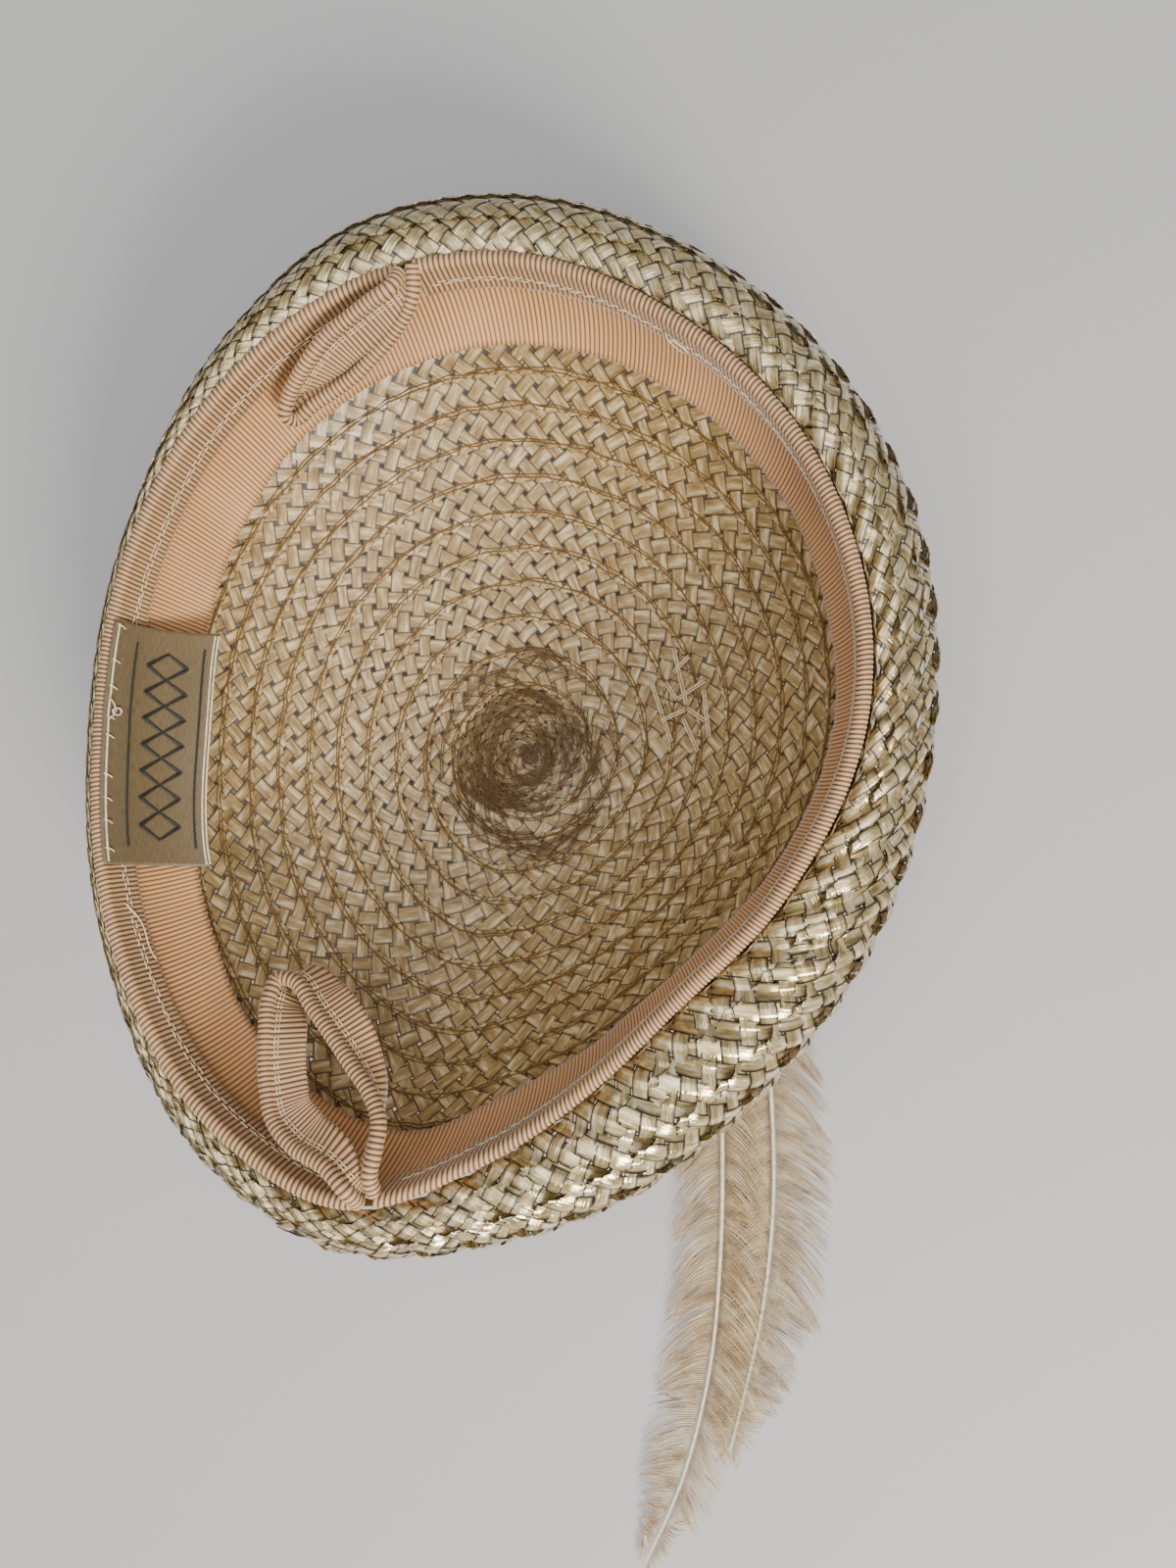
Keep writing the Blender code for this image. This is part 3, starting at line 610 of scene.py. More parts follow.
def sweatband(finish):
    """The ribbon inside the rim: ribbed across its width, following the wall and hanging off it where slack.

    Point(direction, below) = wall + slack + thickness + rise·rib, on a closed section: face, then back.
    """
    count = RIBS_ROUND * RIB_STEPS
    direction = np.arange(count) * 360.0 / count
    top = PIPING_WIDTH / 2.0
    share = np.linspace(0.0, 1.0, 15)
    below = top + (BAND_WIDTH - top) * share
    phase = rib(np.arange(count) * RIB_PITCH / RIB_STEPS)[:, None]
    fine = drift(np.random.default_rng(4), 1, direction, 9.0, 0.25 * MM)[0][:, None] * share**2
    picot = 0.18 * MM * np.sin(np.pi * np.arange(count) / RIB_STEPS)[:, None] * (share > 0.99)
    base = STRAW + ROW_RELIEF + SEAM_GAP
    ridge = RIB_RISE * phase * np.sin(np.pi * np.clip(share * 1.02, 0.02, 0.98)) ** 0.3
    selvedge = 0.10 * MM * np.exp(-((1 - share) / 0.05) ** 2)
    face = on_band(direction[:, None], below + picot, base + BAND_THICK * 0.75 + ridge + selvedge + fine)
    back = on_band(direction[:, None], below + picot, base + 0.1 * MM + fine)
    rings = np.concatenate([face, back[:, ::-1]], axis=1)
    length = np.arange(count) * RIB_PITCH / RIB_STEPS / MM
    width = np.concatenate([share, share[::-1]]) * BAND_WIDTH / MM
    uv = paired(length[:, None], width)
    faces = tube_faces(1, count, 2 * len(share), joined=True)
    band = piece("sweatband_ribbon", rings, faces, finish, uv=uv, node="sweatband", slot="ribbon")


def rim_stitches(name, first, last, finish):
    """Two rows of short stitches through the rim's tape, each a thread arched over the tape's face."""
    face = STRAW + ROW_RELIEF + BAND_THICK + 2.0 * SEAM_GAP + 0.8 * TAPE_THICK
    rng = np.random.default_rng(31)
    count = int(math.radians(last - first) * RIM_RADIUS / STITCH_PITCH)
    step = (last - first) / count
    start = first + step * (np.arange(count) + 0.5)
    t = np.linspace(-0.5, 0.5, 5)
    paths = []
    for row, below in enumerate(RIM_STITCH_ROWS):
        shift = rng.normal(0.0, 0.12, (2, count))
        share = STITCH_LENGTH / STITCH_PITCH * t + 0.5 * row + 0.1 * shift[0][:, None]
        lift = 0.16 * MM + 0.10 * MM * np.cos(np.pi * t)
        paths.append(on_band(start[:, None] + step * share, below + shift[1][:, None] * MM, face + lift))
    return threads(name, np.concatenate(paths), STITCH_RADIUS, finish, corners=5, slot="ribbon")


def outline_normals(points):
    """Outward normals of closed outlines (..., corners, 2)."""
    run = np.roll(points, -1, axis=-2) - np.roll(points, 1, axis=-2)
    return unit(np.stack([run[..., 1], -run[..., 0]], axis=-1))


def rim_outline():
    """The rim piping's section as (below the rim, inward): a round cord, then its flat tape down the band."""
    radius = PIPING_WIDTH / 2.0
    inward = STRAW + ROW_RELIEF + BAND_THICK / 2.0
    turns = np.radians(np.linspace(75.0, 375.0, 15))
    cord = np.stack([radius * np.cos(turns) - CORD_RISE, radius * np.sin(turns) + inward], axis=-1)
    bend = radius - SEAM_GAP
    end = TAPE_WIDTH - radius - CORD_RISE
    outer = STRAW + ROW_RELIEF + BAND_THICK + 2.0 * SEAM_GAP
    inner = outer + 0.8 * TAPE_THICK
    mid = 0.5 * (outer + inner)
    down = np.linspace(bend, end, 6)
    out = [(b, outer) for b in down] + [(end + 0.2 * MM, mid)] + [(b, inner) for b in down[::-1]]
    return np.concatenate([cord, np.array(out)])


def rim_piping(name, first, last, finish):
    """A stretch of the wired piping: its ribbed section carried along the rim."""
    count = int(math.radians(last - first) * RIM_RADIUS / RIB_PITCH) * RIB_STEPS
    direction = np.linspace(first, last, count + 1)
    outline = rim_outline()
    along = np.arange(count + 1) * RIB_PITCH / RIB_STEPS
    ridge = RIB_RISE * (rib(along) - 0.6)
    shape = outline + outline_normals(outline) * ridge[:, None, None]
    tip = (outline[:, 0] > TAPE_WIDTH - PIPING_WIDTH / 2.0 - CORD_RISE - 0.1 * MM)
    shape[..., 0] += 0.15 * MM * np.sin(np.pi * along / RIB_PITCH)[:, None] * tip
    rings = on_band(direction[:, None], shape[..., 0], shape[..., 1])
    uv = paired(along[:, None] / MM, np.linspace(0, PIPING_ROUND, len(outline)))
    return piece(name + "_cord_and_tape", rings, tube_faces(1, count + 1, len(outline)), finish, uv=uv,
                 node=name, slot="ribbon")


def loop_path(loop, count):
    """Points evenly spaced along a pin loop's cord, with its tape's heading and shown share at each."""
    start = wall(loop["place"], -CORD_RISE, STRAW + ROW_RELIEF + BAND_THICK / 2.0)
    h, d, r = (math.radians(loop[k]) for k in ("heading", "dip", "roll"))
    along = np.array([math.cos(h) * math.cos(d), math.sin(h) * math.cos(d), -math.sin(d)])
    level = np.array([-math.sin(h), math.cos(h), 0.0])
    lift = np.cross(along, level) * math.cos(r) + level * math.sin(r)
    axes = np.array([along, np.cross(lift, along), lift])
    cord = np.array([column(loop["rows"], LOOP_COLUMNS, k) for k in ("along", "across", "lift")]).T
    tape = np.array([column(loop["rows"], LOOP_COLUMNS, "tape_" + k) for k in ("along", "across", "lift")]).T
    places = start + loop["length"] * cord @ axes
    heads = tape @ axes
    run = np.concatenate([[0.0], np.cumsum(np.linalg.norm(np.diff(places, axis=0), axis=1))])
    at = np.linspace(0.0, run[-1], count)
    points = np.stack([through(run, places[:, k], at) for k in range(3)], axis=1)
    towards = np.stack([through(run, heads[:, k], at) for k in range(3)], axis=1)
    return points, towards, through(run, column(loop["rows"], LOOP_COLUMNS, "tape"), at), run[-1]


def pin_loop(name, finish, stitch_finish):
    """A loop of the wired piping: its ribbed cord-and-tape section carried along the loop's path."""
    count = int(loop_path(LOOPS[name], 30)[3] / RIB_PITCH) * RIB_STEPS + 1
    points, heads, shares, _ = loop_path(LOOPS[name], count)
    run = unit(np.gradient(points, axis=0))
    towards = unit(heads - run * np.sum(heads * run, axis=1, keepdims=True))
    side = np.cross(run, towards)
    radius = PIPING_WIDTH / 2.0
    half = math.asin(0.8 * TAPE_THICK / PIPING_WIDTH)
    turns = np.linspace(half, 2.0 * math.pi - half, 15)
    cord = np.stack([radius * np.cos(turns), radius * np.sin(turns)], axis=-1)
    least = PIPING_WIDTH + SEAM_GAP / 2.0
    tape = least + (TAPE_WIDTH - least) * shares - radius
    down = np.linspace(0.0, 1.0, 7)[1:]
    start = radius * math.cos(half)
    us = start + (tape[:, None] - start) * down
    low = np.stack([us, np.full_like(us, -0.4 * TAPE_THICK)], axis=-1)
    high = np.stack([us, np.full_like(us, 0.4 * TAPE_THICK)], axis=-1)[:, ::-1]
    outline = np.concatenate([np.broadcast_to(cord, (count, 15, 2)), low, high], axis=1)
    along = np.arange(count) * RIB_PITCH / RIB_STEPS
    shape = outline + outline_normals(outline) * (RIB_RISE * (rib(along) - 0.6))[:, None, None]
    rings = points[:, None] + towards[:, None] * shape[..., :1] + side[:, None] * shape[..., 1:]
    uv = paired(along[:, None] / MM, np.linspace(0, PIPING_ROUND, outline.shape[1]))
    piece(name + "_cord_and_tape", rings, tube_faces(1, count, outline.shape[1]), finish, uv=uv,
          node=name, slot="ribbon")
    stitches = int((count - 1) * RIB_PITCH / RIB_STEPS / STITCH_PITCH)
    at = np.arange(stitches)[:, None] + 0.5 + STITCH_LENGTH / STITCH_PITCH * np.linspace(-0.5, 0.5, 5)
    at = np.minimum(at * STITCH_PITCH / (RIB_PITCH / RIB_STEPS), count - 1.01)
    low = at.astype(int)
    part = (at - low)[..., None]

    def along_loop(values):
        return values[low] * (1 - part) + values[low + 1] * part

    off_cord = along_loop(shares[:, None])[..., 0] > 0.35
    paths = []
    for beyond in LOOP_STITCH_ROWS:
        for face in (1.0, -1.0):
            lift = face * (0.4 * TAPE_THICK + np.where(off_cord, 0.16, -0.2) * MM)
            out = along_loop(towards) * (radius + beyond)
            paths.append(along_loop(points) + out + along_loop(side) * lift[..., None])
    return threads(name + "_stitches", np.concatenate(paths), STITCH_RADIUS, stitch_finish, corners=5,
                   up=np.array([0.31, 0.22, 0.93]), slot="ribbon")


def label_section(drop_share):
    """The label's face as (below the rim, inward): over the piping's shoulder, then down and off the band."""
    over = PIPING_WIDTH / 2.0 + SEAM_GAP + LABEL_THICK
    centre = STRAW + ROW_RELIEF + BAND_THICK / 2.0
    bend = np.radians([50.0, 58.0, 65.0, 72.0, 80.0, 88.0, 95.0])
    curve = np.stack([-CORD_RISE - over * np.cos(bend), centre + over * np.sin(bend)], axis=-1)
    flat = max(centre + over, STRAW + ROW_RELIEF + BAND_THICK + 3 * SEAM_GAP + TAPE_THICK + LABEL_THICK)
    drop = LABEL_WIDTH - over * math.radians(90.0)
    down = np.stack([curve[-1, 0] + drop * drop_share, flat + LABEL_STAND * drop_share**2], axis=-1)
    return np.concatenate([curve, down])


LABEL_ROWS = label_section(np.linspace(0.0, 1.0, 41)[1:])
LABEL_SHARE = np.concatenate([[0.0], np.cumsum(np.hypot(*np.diff(LABEL_ROWS, axis=0).T))])
LABEL_SHARE /= LABEL_SHARE[-1]


def on_label(across, share, lift):
    """Points of the label: across -1 to 1 along the rim, share 0 at the rim to 1 at its free edge."""
    across, share, lift = np.broadcast_arrays(across, share, lift)
    below = np.interp(share, LABEL_SHARE, LABEL_ROWS[:, 0])
    inward = np.interp(share, LABEL_SHARE, LABEL_ROWS[:, 1])
    middle = on_band(LABEL_DIRECTION, LABEL_ROWS[:, 0], LABEL_ROWS[:, 1])
    reach = np.interp(share, LABEL_SHARE, np.hypot(middle[:, 0], middle[:, 1]))
    direction = LABEL_DIRECTION + across * np.degrees(LABEL_LENGTH / 2.0 / reach)
    ripple = 0.45 * MM * np.sin(3.1 * across + 4.0 * share) * share**1.5
    curl = 0.5 * MM * np.abs(across) ** 6 * share
    pull = -0.25 * MM * np.exp(-((across - LABEL_KNOT) / 0.10) ** 2 - ((share - 0.10) / 0.16) ** 2)
    return on_band(direction, below, inward + ripple + curl + pull + lift)


def label(finish, edge_finish, motif_finish):
    """The woven label: a sheet hung over the piping, with corded selvedges, whip stitches and a motif.

    The motif is a plain one of its kind: a row of diamonds in doubled thread between two border lines.
    """
    across = np.linspace(-1.0, 1.0, 81)[:, None]
    share = LABEL_SHARE
    face = on_label(across, share, -0.1 * MM)
    back = on_label(across, share, -0.55 * LABEL_THICK)
    rings = np.concatenate([face, back[:, ::-1]], axis=1)
    width = np.concatenate([share, share[::-1]]) * LABEL_WIDTH / MM
    uv = paired(across * LABEL_LENGTH / 2 / MM, width)
    faces = tube_faces(1, len(across), 2 * len(share))
    cloth = piece("label_cloth", rings, faces, finish, uv=uv, node="label", slot="woven_label")
    long_way = np.linspace(-0.985, 0.985, 160)
    twist = 0.06 * MM * np.sin(np.linspace(0, 420, 160))
    edges = [on_label(long_way, 0.985, 0.10 * MM + twist), on_label(long_way, 0.955, 0.05 * MM - twist),
             on_label(long_way, 0.025, 0.10 * MM - twist)]
    threads("label_selvedge", np.stack(edges), 0.24 * MM, edge_finish, corners=6, slot="woven_label")
    rng = np.random.default_rng(41)
    place = np.linspace(-0.93, 0.93, WHIP_STITCHES) + rng.normal(0.0, 0.04, WHIP_STITCHES)
    s = np.linspace(0.0, 1.0, 7)
    arch = np.sin(np.pi * s)
    paths = [on_label(a + 0.03 * s, 0.01 + 0.075 * s, (0.10 + 0.14 * arch) * MM) for a in place]
    for turn in (0.0, 0.9, 1.8, 2.7, 3.6, 4.5, 5.4):
        ring = turn + 2.0 * s
        aside, down = 0.03 * np.cos(ring), 0.04 * np.sin(ring)
        paths.append(on_label(LABEL_KNOT + aside, 0.09 + down, (0.25 + 0.35 * arch) * MM))
    for end in (-0.10, 0.07):
        paths.append(on_label(LABEL_KNOT + end * s, 0.09 - 0.08 * s, (0.3 + 0.5 * np.sin(2 * s)) * MM))
    threads("label_whip_stitches", np.stack(paths), THREAD_RADIUS, edge_finish, corners=6,
            slot="woven_label")
    diamond = np.linspace(0.0, 1.0, 121)
    crest = 1 - np.abs((diamond * DIAMONDS) % 1.0 - 0.5) * 2.0
    motif = []
    for reach in (DIAMOND_REACH, DIAMOND_REACH - 0.030):
        motif.append(on_label(-0.80 + 1.6 * diamond, DIAMOND_MIDDLE + reach * crest, 0.12 * MM))
        motif.append(on_label(-0.80 + 1.6 * diamond, DIAMOND_MIDDLE - reach * crest, 0.14 * MM))
    for row in (0.24, 0.88):
        motif.append(on_label(-0.86 + 1.72 * diamond, row + 0.006 * np.sin(diamond * 300), 0.12 * MM))
    threads("label_motif", np.stack(motif), 0.22 * MM, motif_finish, corners=6, slot="woven_label")


# Stitches and loose ends on the crown and the rim

def floor_height(x, y):
    """Height of the crown's outside at places in plan, read from the wall's table at whole degrees."""
    direction = np.degrees(np.arctan2(y, x)) % 360.0
    radius = np.hypot(x, y)
    flat = np.array([np.interp(r, WALL_REACH[int(a)][::-1], WALL_HEIGHT[int(a)][::-1])
                     for r, a in zip(radius.ravel(), direction.ravel())])
    return flat.reshape(radius.shape)


def star_stitches(finish):
    """The stitches that hold the plumes: doubled strands over the braid, arched in their middles."""
    ends = np.array(STAR_STITCHES) * MM
    t = np.linspace(0.0, 1.0, 9)[:, None]
    paths = []
    for shift in (-STAR_STRAND, STAR_STRAND):
        a, b = ends[:, None, :2], ends[:, None, 2:]
        run = unit(b - a)
        off = np.stack([-run[..., 1], run[..., 0]], axis=-1) * shift
        plan = a * (1 - t) + b * t + off + np.array(STAR)
        height = floor_height(plan[..., 0], plan[..., 1]) + 2 * BRAID_MIDDLE + STAR_CLEAR
        height = height + 0.7 * MM * np.sin(np.pi * t[:, 0])
        paths.append(np.concatenate([plan, height[..., None]], axis=-1))
    threads("star_stitches", np.concatenate(paths), STAR_RADIUS, finish, corners=6, slot="straw")


def frayed_threads(finish, seed):
    """Frayed ends of straw round the button: short bunches of thin arcs that wander over the coil."""
    rng = np.random.default_rng(seed)
    inner, outer, strands = 8, 84, 4
    bunches = inner + outer
    t = np.linspace(0.0, 1.0, 12)
    radius = np.concatenate([rng.uniform(0.2, 2.4, inner), 3.0 + 21.0 * rng.random(outer) ** 0.8])
    radius = radius[:, None, None] * MM
    start = rng.uniform(0.0, 2 * np.pi, bunches)[:, None, None]
    span = rng.uniform(6.0, 16.0, bunches)[:, None, None] * MM / np.maximum(radius, 4 * MM)
    wander = rng.normal(0.0, 1.1 * MM, (bunches, 1, 3))
    beside = (np.arange(strands) * 0.36 * MM)[None, :, None] + rng.normal(0, 0.2 * MM, (bunches, strands, 1))
    angle = start + span * t + rng.normal(0.0, 0.05, (bunches, strands, 1))
    reach = radius + beside + wander[..., :1] * np.sin(3 * t) + wander[..., 1:2] * t + wander[..., 2:] * t**2
    x, y = reach * np.cos(angle), reach * np.sin(angle)
    loft = 0.30 * MM * np.sin(np.pi * t) + rng.uniform(0.0, 0.6, (bunches, strands, 1)) * MM
    height = floor_height(x, y) + 2 * BRAID_MIDDLE + loft
    paths = np.stack([x, y, height], axis=-1).reshape(-1, len(t), 3)
    threads("frayed_straw_ends", paths, FIBRE_RADIUS, finish, corners=4, slot="straw")


def loose_threads(finish):
    """Two loose ends of sewing thread: a loop at the far front of the rim and one beside the label."""
    t = np.linspace(0.0, 1.0, 24)
    inner = STRAW + ROW_RELIEF + BAND_THICK + TAPE_THICK
    turn = 2 * np.pi * 0.8 * t
    loop = on_band(61.0 + 1.9 * np.cos(turn), (3.0 + 3.4 * np.sin(turn)) * MM, inner + (1.0 + 0.8 * t) * MM)
    tail = on_band(206.0 + 9.0 * t, (2.0 + 5.0 * t + 1.5 * np.sin(5 * t)) * MM, inner + (0.6 + 1.2 * t) * MM)
    threads("loose_threads", np.stack([loop, tail]), THREAD_RADIUS, finish, corners=6, slot="ribbon")


# Plumes

def quill_underside(place, share):
    """Height of a quill's underside: against the crown at its stitched end, then down on to the table."""
    inner = place * (1.0 - QUILL_WIDTH / np.linalg.norm(place, axis=1, keepdims=True))
    over = floor_height(inner[:, 0], inner[:, 1])
    held = np.maximum(over - SEAM_GAP - QUILL_HEIGHT - ROW_RELIEF, 0.0)
    leave, land = QUILL_DROP
    fall = np.clip((share - leave) / (land - leave), 0.0, 1.0)
    return held * (1.0 - fall) ** 2


def plume_curve(name, at):
    """A plume's quill in plan, its run and side, its underside and its vanes' widths, at shares along it."""
    rows, length, vane = (PLUMES[name][k] for k in ("rows", "length", "vane"))
    along = column(rows, PLUME_COLUMNS, "along")
    x, y, back, front = (through(along, column(rows, PLUME_COLUMNS, k), at) for k in PLUME_COLUMNS[1:])
    quill = RIM_REACH * np.array(PLUMES[name]["held"]) + length * np.stack([x, y], axis=1)
    run = unit(np.gradient(quill, axis=0))
    side = np.stack([-run[:, 1], run[:, 0]], axis=1)
    back, front = vane * np.maximum(back, 0), vane * np.maximum(front, 0)
    return quill, run, side, quill_underside(quill, at), back, front


def plume(name, finish, quill_finish, seed):
    """A feather: fine barbs slanting off both sides of its quill, drawn together in locks.

    Barb(root, t) = quill + side·reach·t + run·(slant·(0.35t + 0.65t²) + tip·t^2.2), a tapering strip.
    Neighbours in a lock or a tuft share most of their tip, which leaves gaps between locks.
    """
    rng = np.random.default_rng(seed)
    length, tilt = PLUMES[name]["length"], PLUMES[name]["tilt"]
    count = int(0.80 * length / BARB_SPACING)
    at = np.linspace(BARBS_BEGIN, 0.995, count)
    quill, run, side, under, back, front = plume_curve(name, at)
    t = np.linspace(0.0, 1.0, 9)
    rings = []
    for turn, reach in ((1.0, front), (-1.0, back)):
        lock = drift(rng, 1, at * length, 7 * MM, 1.0)[0]
        tuft = drift(rng, 1, at * length, 1.7 * MM, 1.0)[0]
        stray = rng.normal(0.0, 0.45 * MM, count) * (1.0 + 3.0 * (rng.random(count) > 0.93))
        ahead = BARB_SLANT * np.minimum(1.0, (1.0 - at) / SLANT_END) * (0.25 + 0.75 * reach / np.max(reach))
        tip = 1.7 * MM * lock + 1.5 * MM * tuft + stray
        longer = reach * (1.0 + 0.05 * tuft + rng.normal(0, 0.06, count))
        out = QUILL_WIDTH * 0.3 + longer[:, None] * t
        forward = ahead[:, None] * (0.35 * t + 0.65 * t**2) + tip[:, None] * t**2.2
        plan = quill[:, None] + turn * side[:, None] * out[..., None] + run[:, None] * forward[..., None]
        lift = 0.45 * MM + (0.7 * MM + 0.25 * MM * lock)[:, None] * np.sin(np.pi * 0.8 * t)
        lift = lift + (0.25 * MM * tuft + rng.normal(0.0, 0.15 * MM, count))[:, None] * t
        height = under[:, None] + tilt * np.maximum(0.0, turn * out + PLUMES[name]["vane"])
        height = height + np.maximum(lift, 0.12 * MM)
        path = np.concatenate([plan, height[..., None]], axis=-1)
        width = (BARB_WIDTH * (1.0 - 0.75 * t**2))[None, :, None]
        _, across, up = frames(path, (0.0, 0.0, 1.0))
        wide, thick = across * width, up * BARB_THICK
        rings.append(np.stack([path + wide, path + thick, path - wide, path - thick], axis=2))
    rings = np.concatenate(rings)
    uv = paired(t[None, :, None], np.arange(len(rings))[:, None, None] + np.zeros(4))
    faces = tube_faces(len(rings), len(t), 4)
    piece(name + "_barbs", rings, faces, finish, uv=uv, node=name, slot="feather")
    at = np.linspace(0.0, 0.99, 90)
    quill, run, side, under, _, _ = plume_curve(name, at)
    width = 0.5 * QUILL_WIDTH * (0.75 - 0.55 * at)
    height = under + tilt * PLUMES[name]["vane"] + 0.4 * MM + width
    path = np.concatenate([quill, height[:, None]], axis=1)[None]
    threads(name + "_quill", path, width[None], quill_finish, corners=10, slot="feather")


# Materials
# Noise scales are cells per mm. "Object" coordinates are in metres, so there the count is divided by MM. "UV"
# runs along a piece in mm, and across it in mm on ribbons and the label and from 0 to 1 on a straw. On barbs
# it is the share along a barb and the barb's number, so its scales are cells per barb length and per barb.

def linear(code):
    """An sRGB hex colour as linear RGBA."""
    rgb = np.array([int(code[i:i + 2], 16) for i in (1, 3, 5)]) / 255.0
    rgb = np.where(rgb <= 0.04045, rgb / 12.92, ((rgb + 0.055) / 1.055) ** 2.4)
    return (*rgb.tolist(), 1.0)


def add_node(mat, kind, settings=(), inputs=(), links=(), feeds=(), stops=()):
    """Add one node: its settings, its sockets' values, its links and feeds, and a colour ramp's stops.

    Links are (socket, source node, output), feeds (output, target node, socket), stops (place, hex colour).
    """
    node = mat.node_tree.nodes.new(kind)
    for key, value in dict(settings).items():
        setattr(node, key, value)
    for key, value in dict(inputs).items():
        node.inputs[key].default_value = value
    for socket, source, output in links:
        mat.node_tree.links.new(source.outputs[output], node.inputs[socket])
    for output, target, socket in feeds:
        mat.node_tree.links.new(node.outputs[output], target.inputs[socket])
    for _ in stops[2:]:
        node.color_ramp.elements.new(0.5)
    for k, (place, code) in enumerate(stops):
        node.color_ramp.elements[k].position = place
        node.color_ramp.elements[k].color = linear(code)
    return node


def finish_of(name, inputs):
    """A material with its Principled shader, whose sockets get these values."""
    mat = bpy.data.materials.new(name)
    mat.use_nodes = True
    shader = mat.node_tree.nodes["Principled BSDF"]
    for key, value in inputs.items():
        shader.inputs[key].default_value = value
    return mat, shader


def straw_finish(name, edge, dark, middle, light, gleam):
    """Cellophane straw: film rolled into tubes, pressed flat and plaited, then shaped in steam.

    That leaves milky streaks along each straw and a crinkle that breaks its shine; the edge colour,
    mixed in along each straw's long edges, is painted shade of the slits between straws. Gleam is how
    much of the film's mirror shine is left.
    """
    mat, shader = finish_of(name, {"Roughness": 0.42 - 0.4 * gleam, "Metallic": gleam,
                                   "Coat Weight": 0.08 + gleam, "Coat Roughness": 0.12})
    coords = add_node(mat, "ShaderNodeTexCoord")
    streak_map = add_node(mat, "ShaderNodeMapping", inputs={"Scale": (0.22, 2.2, 1.0)},
                          links=[("Vector", coords, "UV")])
    streak = add_node(mat, "ShaderNodeTexNoise", inputs={"Scale": 1.0, "Detail": 4.0, "Roughness": 0.6},
                      links=[("Vector", streak_map, "Vector")])
    colour = add_node(mat, "ShaderNodeValToRGB", links=[("Fac", streak, "Fac")],
                      stops=[(0.32, dark), (0.50, middle), (0.68, light)])
    # Painted shade: towards each straw's long edges the edge colour is mixed in, standing for the shade in
    # the slits between straws
    parts = add_node(mat, "ShaderNodeSeparateXYZ", links=[("Vector", coords, "UV")])
    off = add_node(mat, "ShaderNodeMath", {"operation": "SUBTRACT"}, {1: 0.5}, [(0, parts, "Y")])
    away = add_node(mat, "ShaderNodeMath", {"operation": "ABSOLUTE"}, links=[(0, off, "Value")])
    rim = add_node(mat, "ShaderNodeMapRange", inputs={"From Min": 0.34, "From Max": 0.46},
                   links=[("Value", away, "Value")])
    add_node(mat, "ShaderNodeMix", {"data_type": "RGBA"}, {"B": linear(edge)},
             [("Factor", rim, "Result"), ("A", colour, "Color")], [("Result", shader, "Base Color")])
    fine_map = add_node(mat, "ShaderNodeMapping", inputs={"Scale": (0.35, 6.0, 1.0)},
                        links=[("Vector", coords, "UV")])
    fine = add_node(mat, "ShaderNodeTexNoise", inputs={"Scale": 1.0, "Detail": 3.0},
                    links=[("Vector", fine_map, "Vector")])
    add_node(mat, "ShaderNodeBump", inputs={"Strength": 0.6, "Distance": 0.25 * MM},
             links=[("Height", fine, "Fac")], feeds=[("Normal", shader, "Normal")])
    return mat


def grosgrain_finish(name, groove_shade, side, top):
    """Rayon grosgrain: thick cords of weft under a thin warp, dyed in the piece.

    That gives matt ribs with a soft sheen and slow changes in the dye; the colour follows each rib's
    height, darker in the grooves as painted shade and lighter on the tops as painted highlight.
    """
    mat, shader = finish_of(name, {"Roughness": 0.58, "Sheen Weight": 0.3, "Sheen Roughness": 0.4})
    coords = add_node(mat, "ShaderNodeTexCoord")
    parts = add_node(mat, "ShaderNodeSeparateXYZ", links=[("Vector", coords, "UV")])
    phase = add_node(mat, "ShaderNodeMath", {"operation": "MULTIPLY"}, {1: math.pi * MM / RIB_PITCH},
                     [(0, parts, "X")])
    wave = add_node(mat, "ShaderNodeMath", {"operation": "SINE"}, links=[(0, phase, "Value")])
    height = add_node(mat, "ShaderNodeMath", {"operation": "ABSOLUTE"}, links=[(0, wave, "Value")])
    cloud = add_node(mat, "ShaderNodeTexNoise", inputs={"Scale": 0.07 / MM, "Detail": 3.0},
                     links=[("Vector", coords, "Object")])
    uneven = add_node(mat, "ShaderNodeMapRange", inputs={"To Min": -0.14, "To Max": 0.14},
                      links=[("Value", cloud, "Fac")])
    # Painted shade and highlight: the rib's height picks the colour, the groove colour in each groove and the
    # top colour on each crest, with the dye's slow changes added
    rib_shade_and_dye = add_node(mat, "ShaderNodeMath", {"operation": "ADD"},
                    links=[(0, height, "Value"), (1, uneven, "Result")])
    add_node(mat, "ShaderNodeValToRGB", links=[("Fac", rib_shade_and_dye, "Value")],
             feeds=[("Color", shader, "Base Color")], stops=[(0.12, groove_shade), (0.5, side), (0.92, top)])
    thread = add_node(mat, "ShaderNodeTexNoise", inputs={"Scale": 3.6 / MM, "Detail": 1.0},
                      links=[("Vector", coords, "Object")])
    add_node(mat, "ShaderNodeBump", inputs={"Strength": 0.35, "Distance": 0.06 * MM},
             links=[("Height", thread, "Fac")], feeds=[("Normal", shader, "Normal")])
    return mat


def satin_finish():
    """Rayon satin of a label: woven with long floats of fine thread, which shine softly in fine lines."""
    mat, shader = finish_of("label_rayon_satin", {"Roughness": 0.45, "Sheen Weight": 0.3, "Anisotropic": 0.4})
    coords = add_node(mat, "ShaderNodeTexCoord")
    warp_map = add_node(mat, "ShaderNodeMapping", inputs={"Scale": (0.5, 7.0, 1.0)},
                        links=[("Vector", coords, "UV")])
    warp = add_node(mat, "ShaderNodeTexNoise", inputs={"Scale": 1.0, "Detail": 2.0},
                    links=[("Vector", warp_map, "Vector")])
    add_node(mat, "ShaderNodeValToRGB", links=[("Fac", warp, "Fac")],
             feeds=[("Color", shader, "Base Color")], stops=[(0.3, "#55452a"), (0.7, "#796743")])
    add_node(mat, "ShaderNodeBump", inputs={"Strength": 0.4, "Distance": 0.08 * MM},
             links=[("Height", warp, "Fac")], feeds=[("Normal", shader, "Normal")])
    return mat


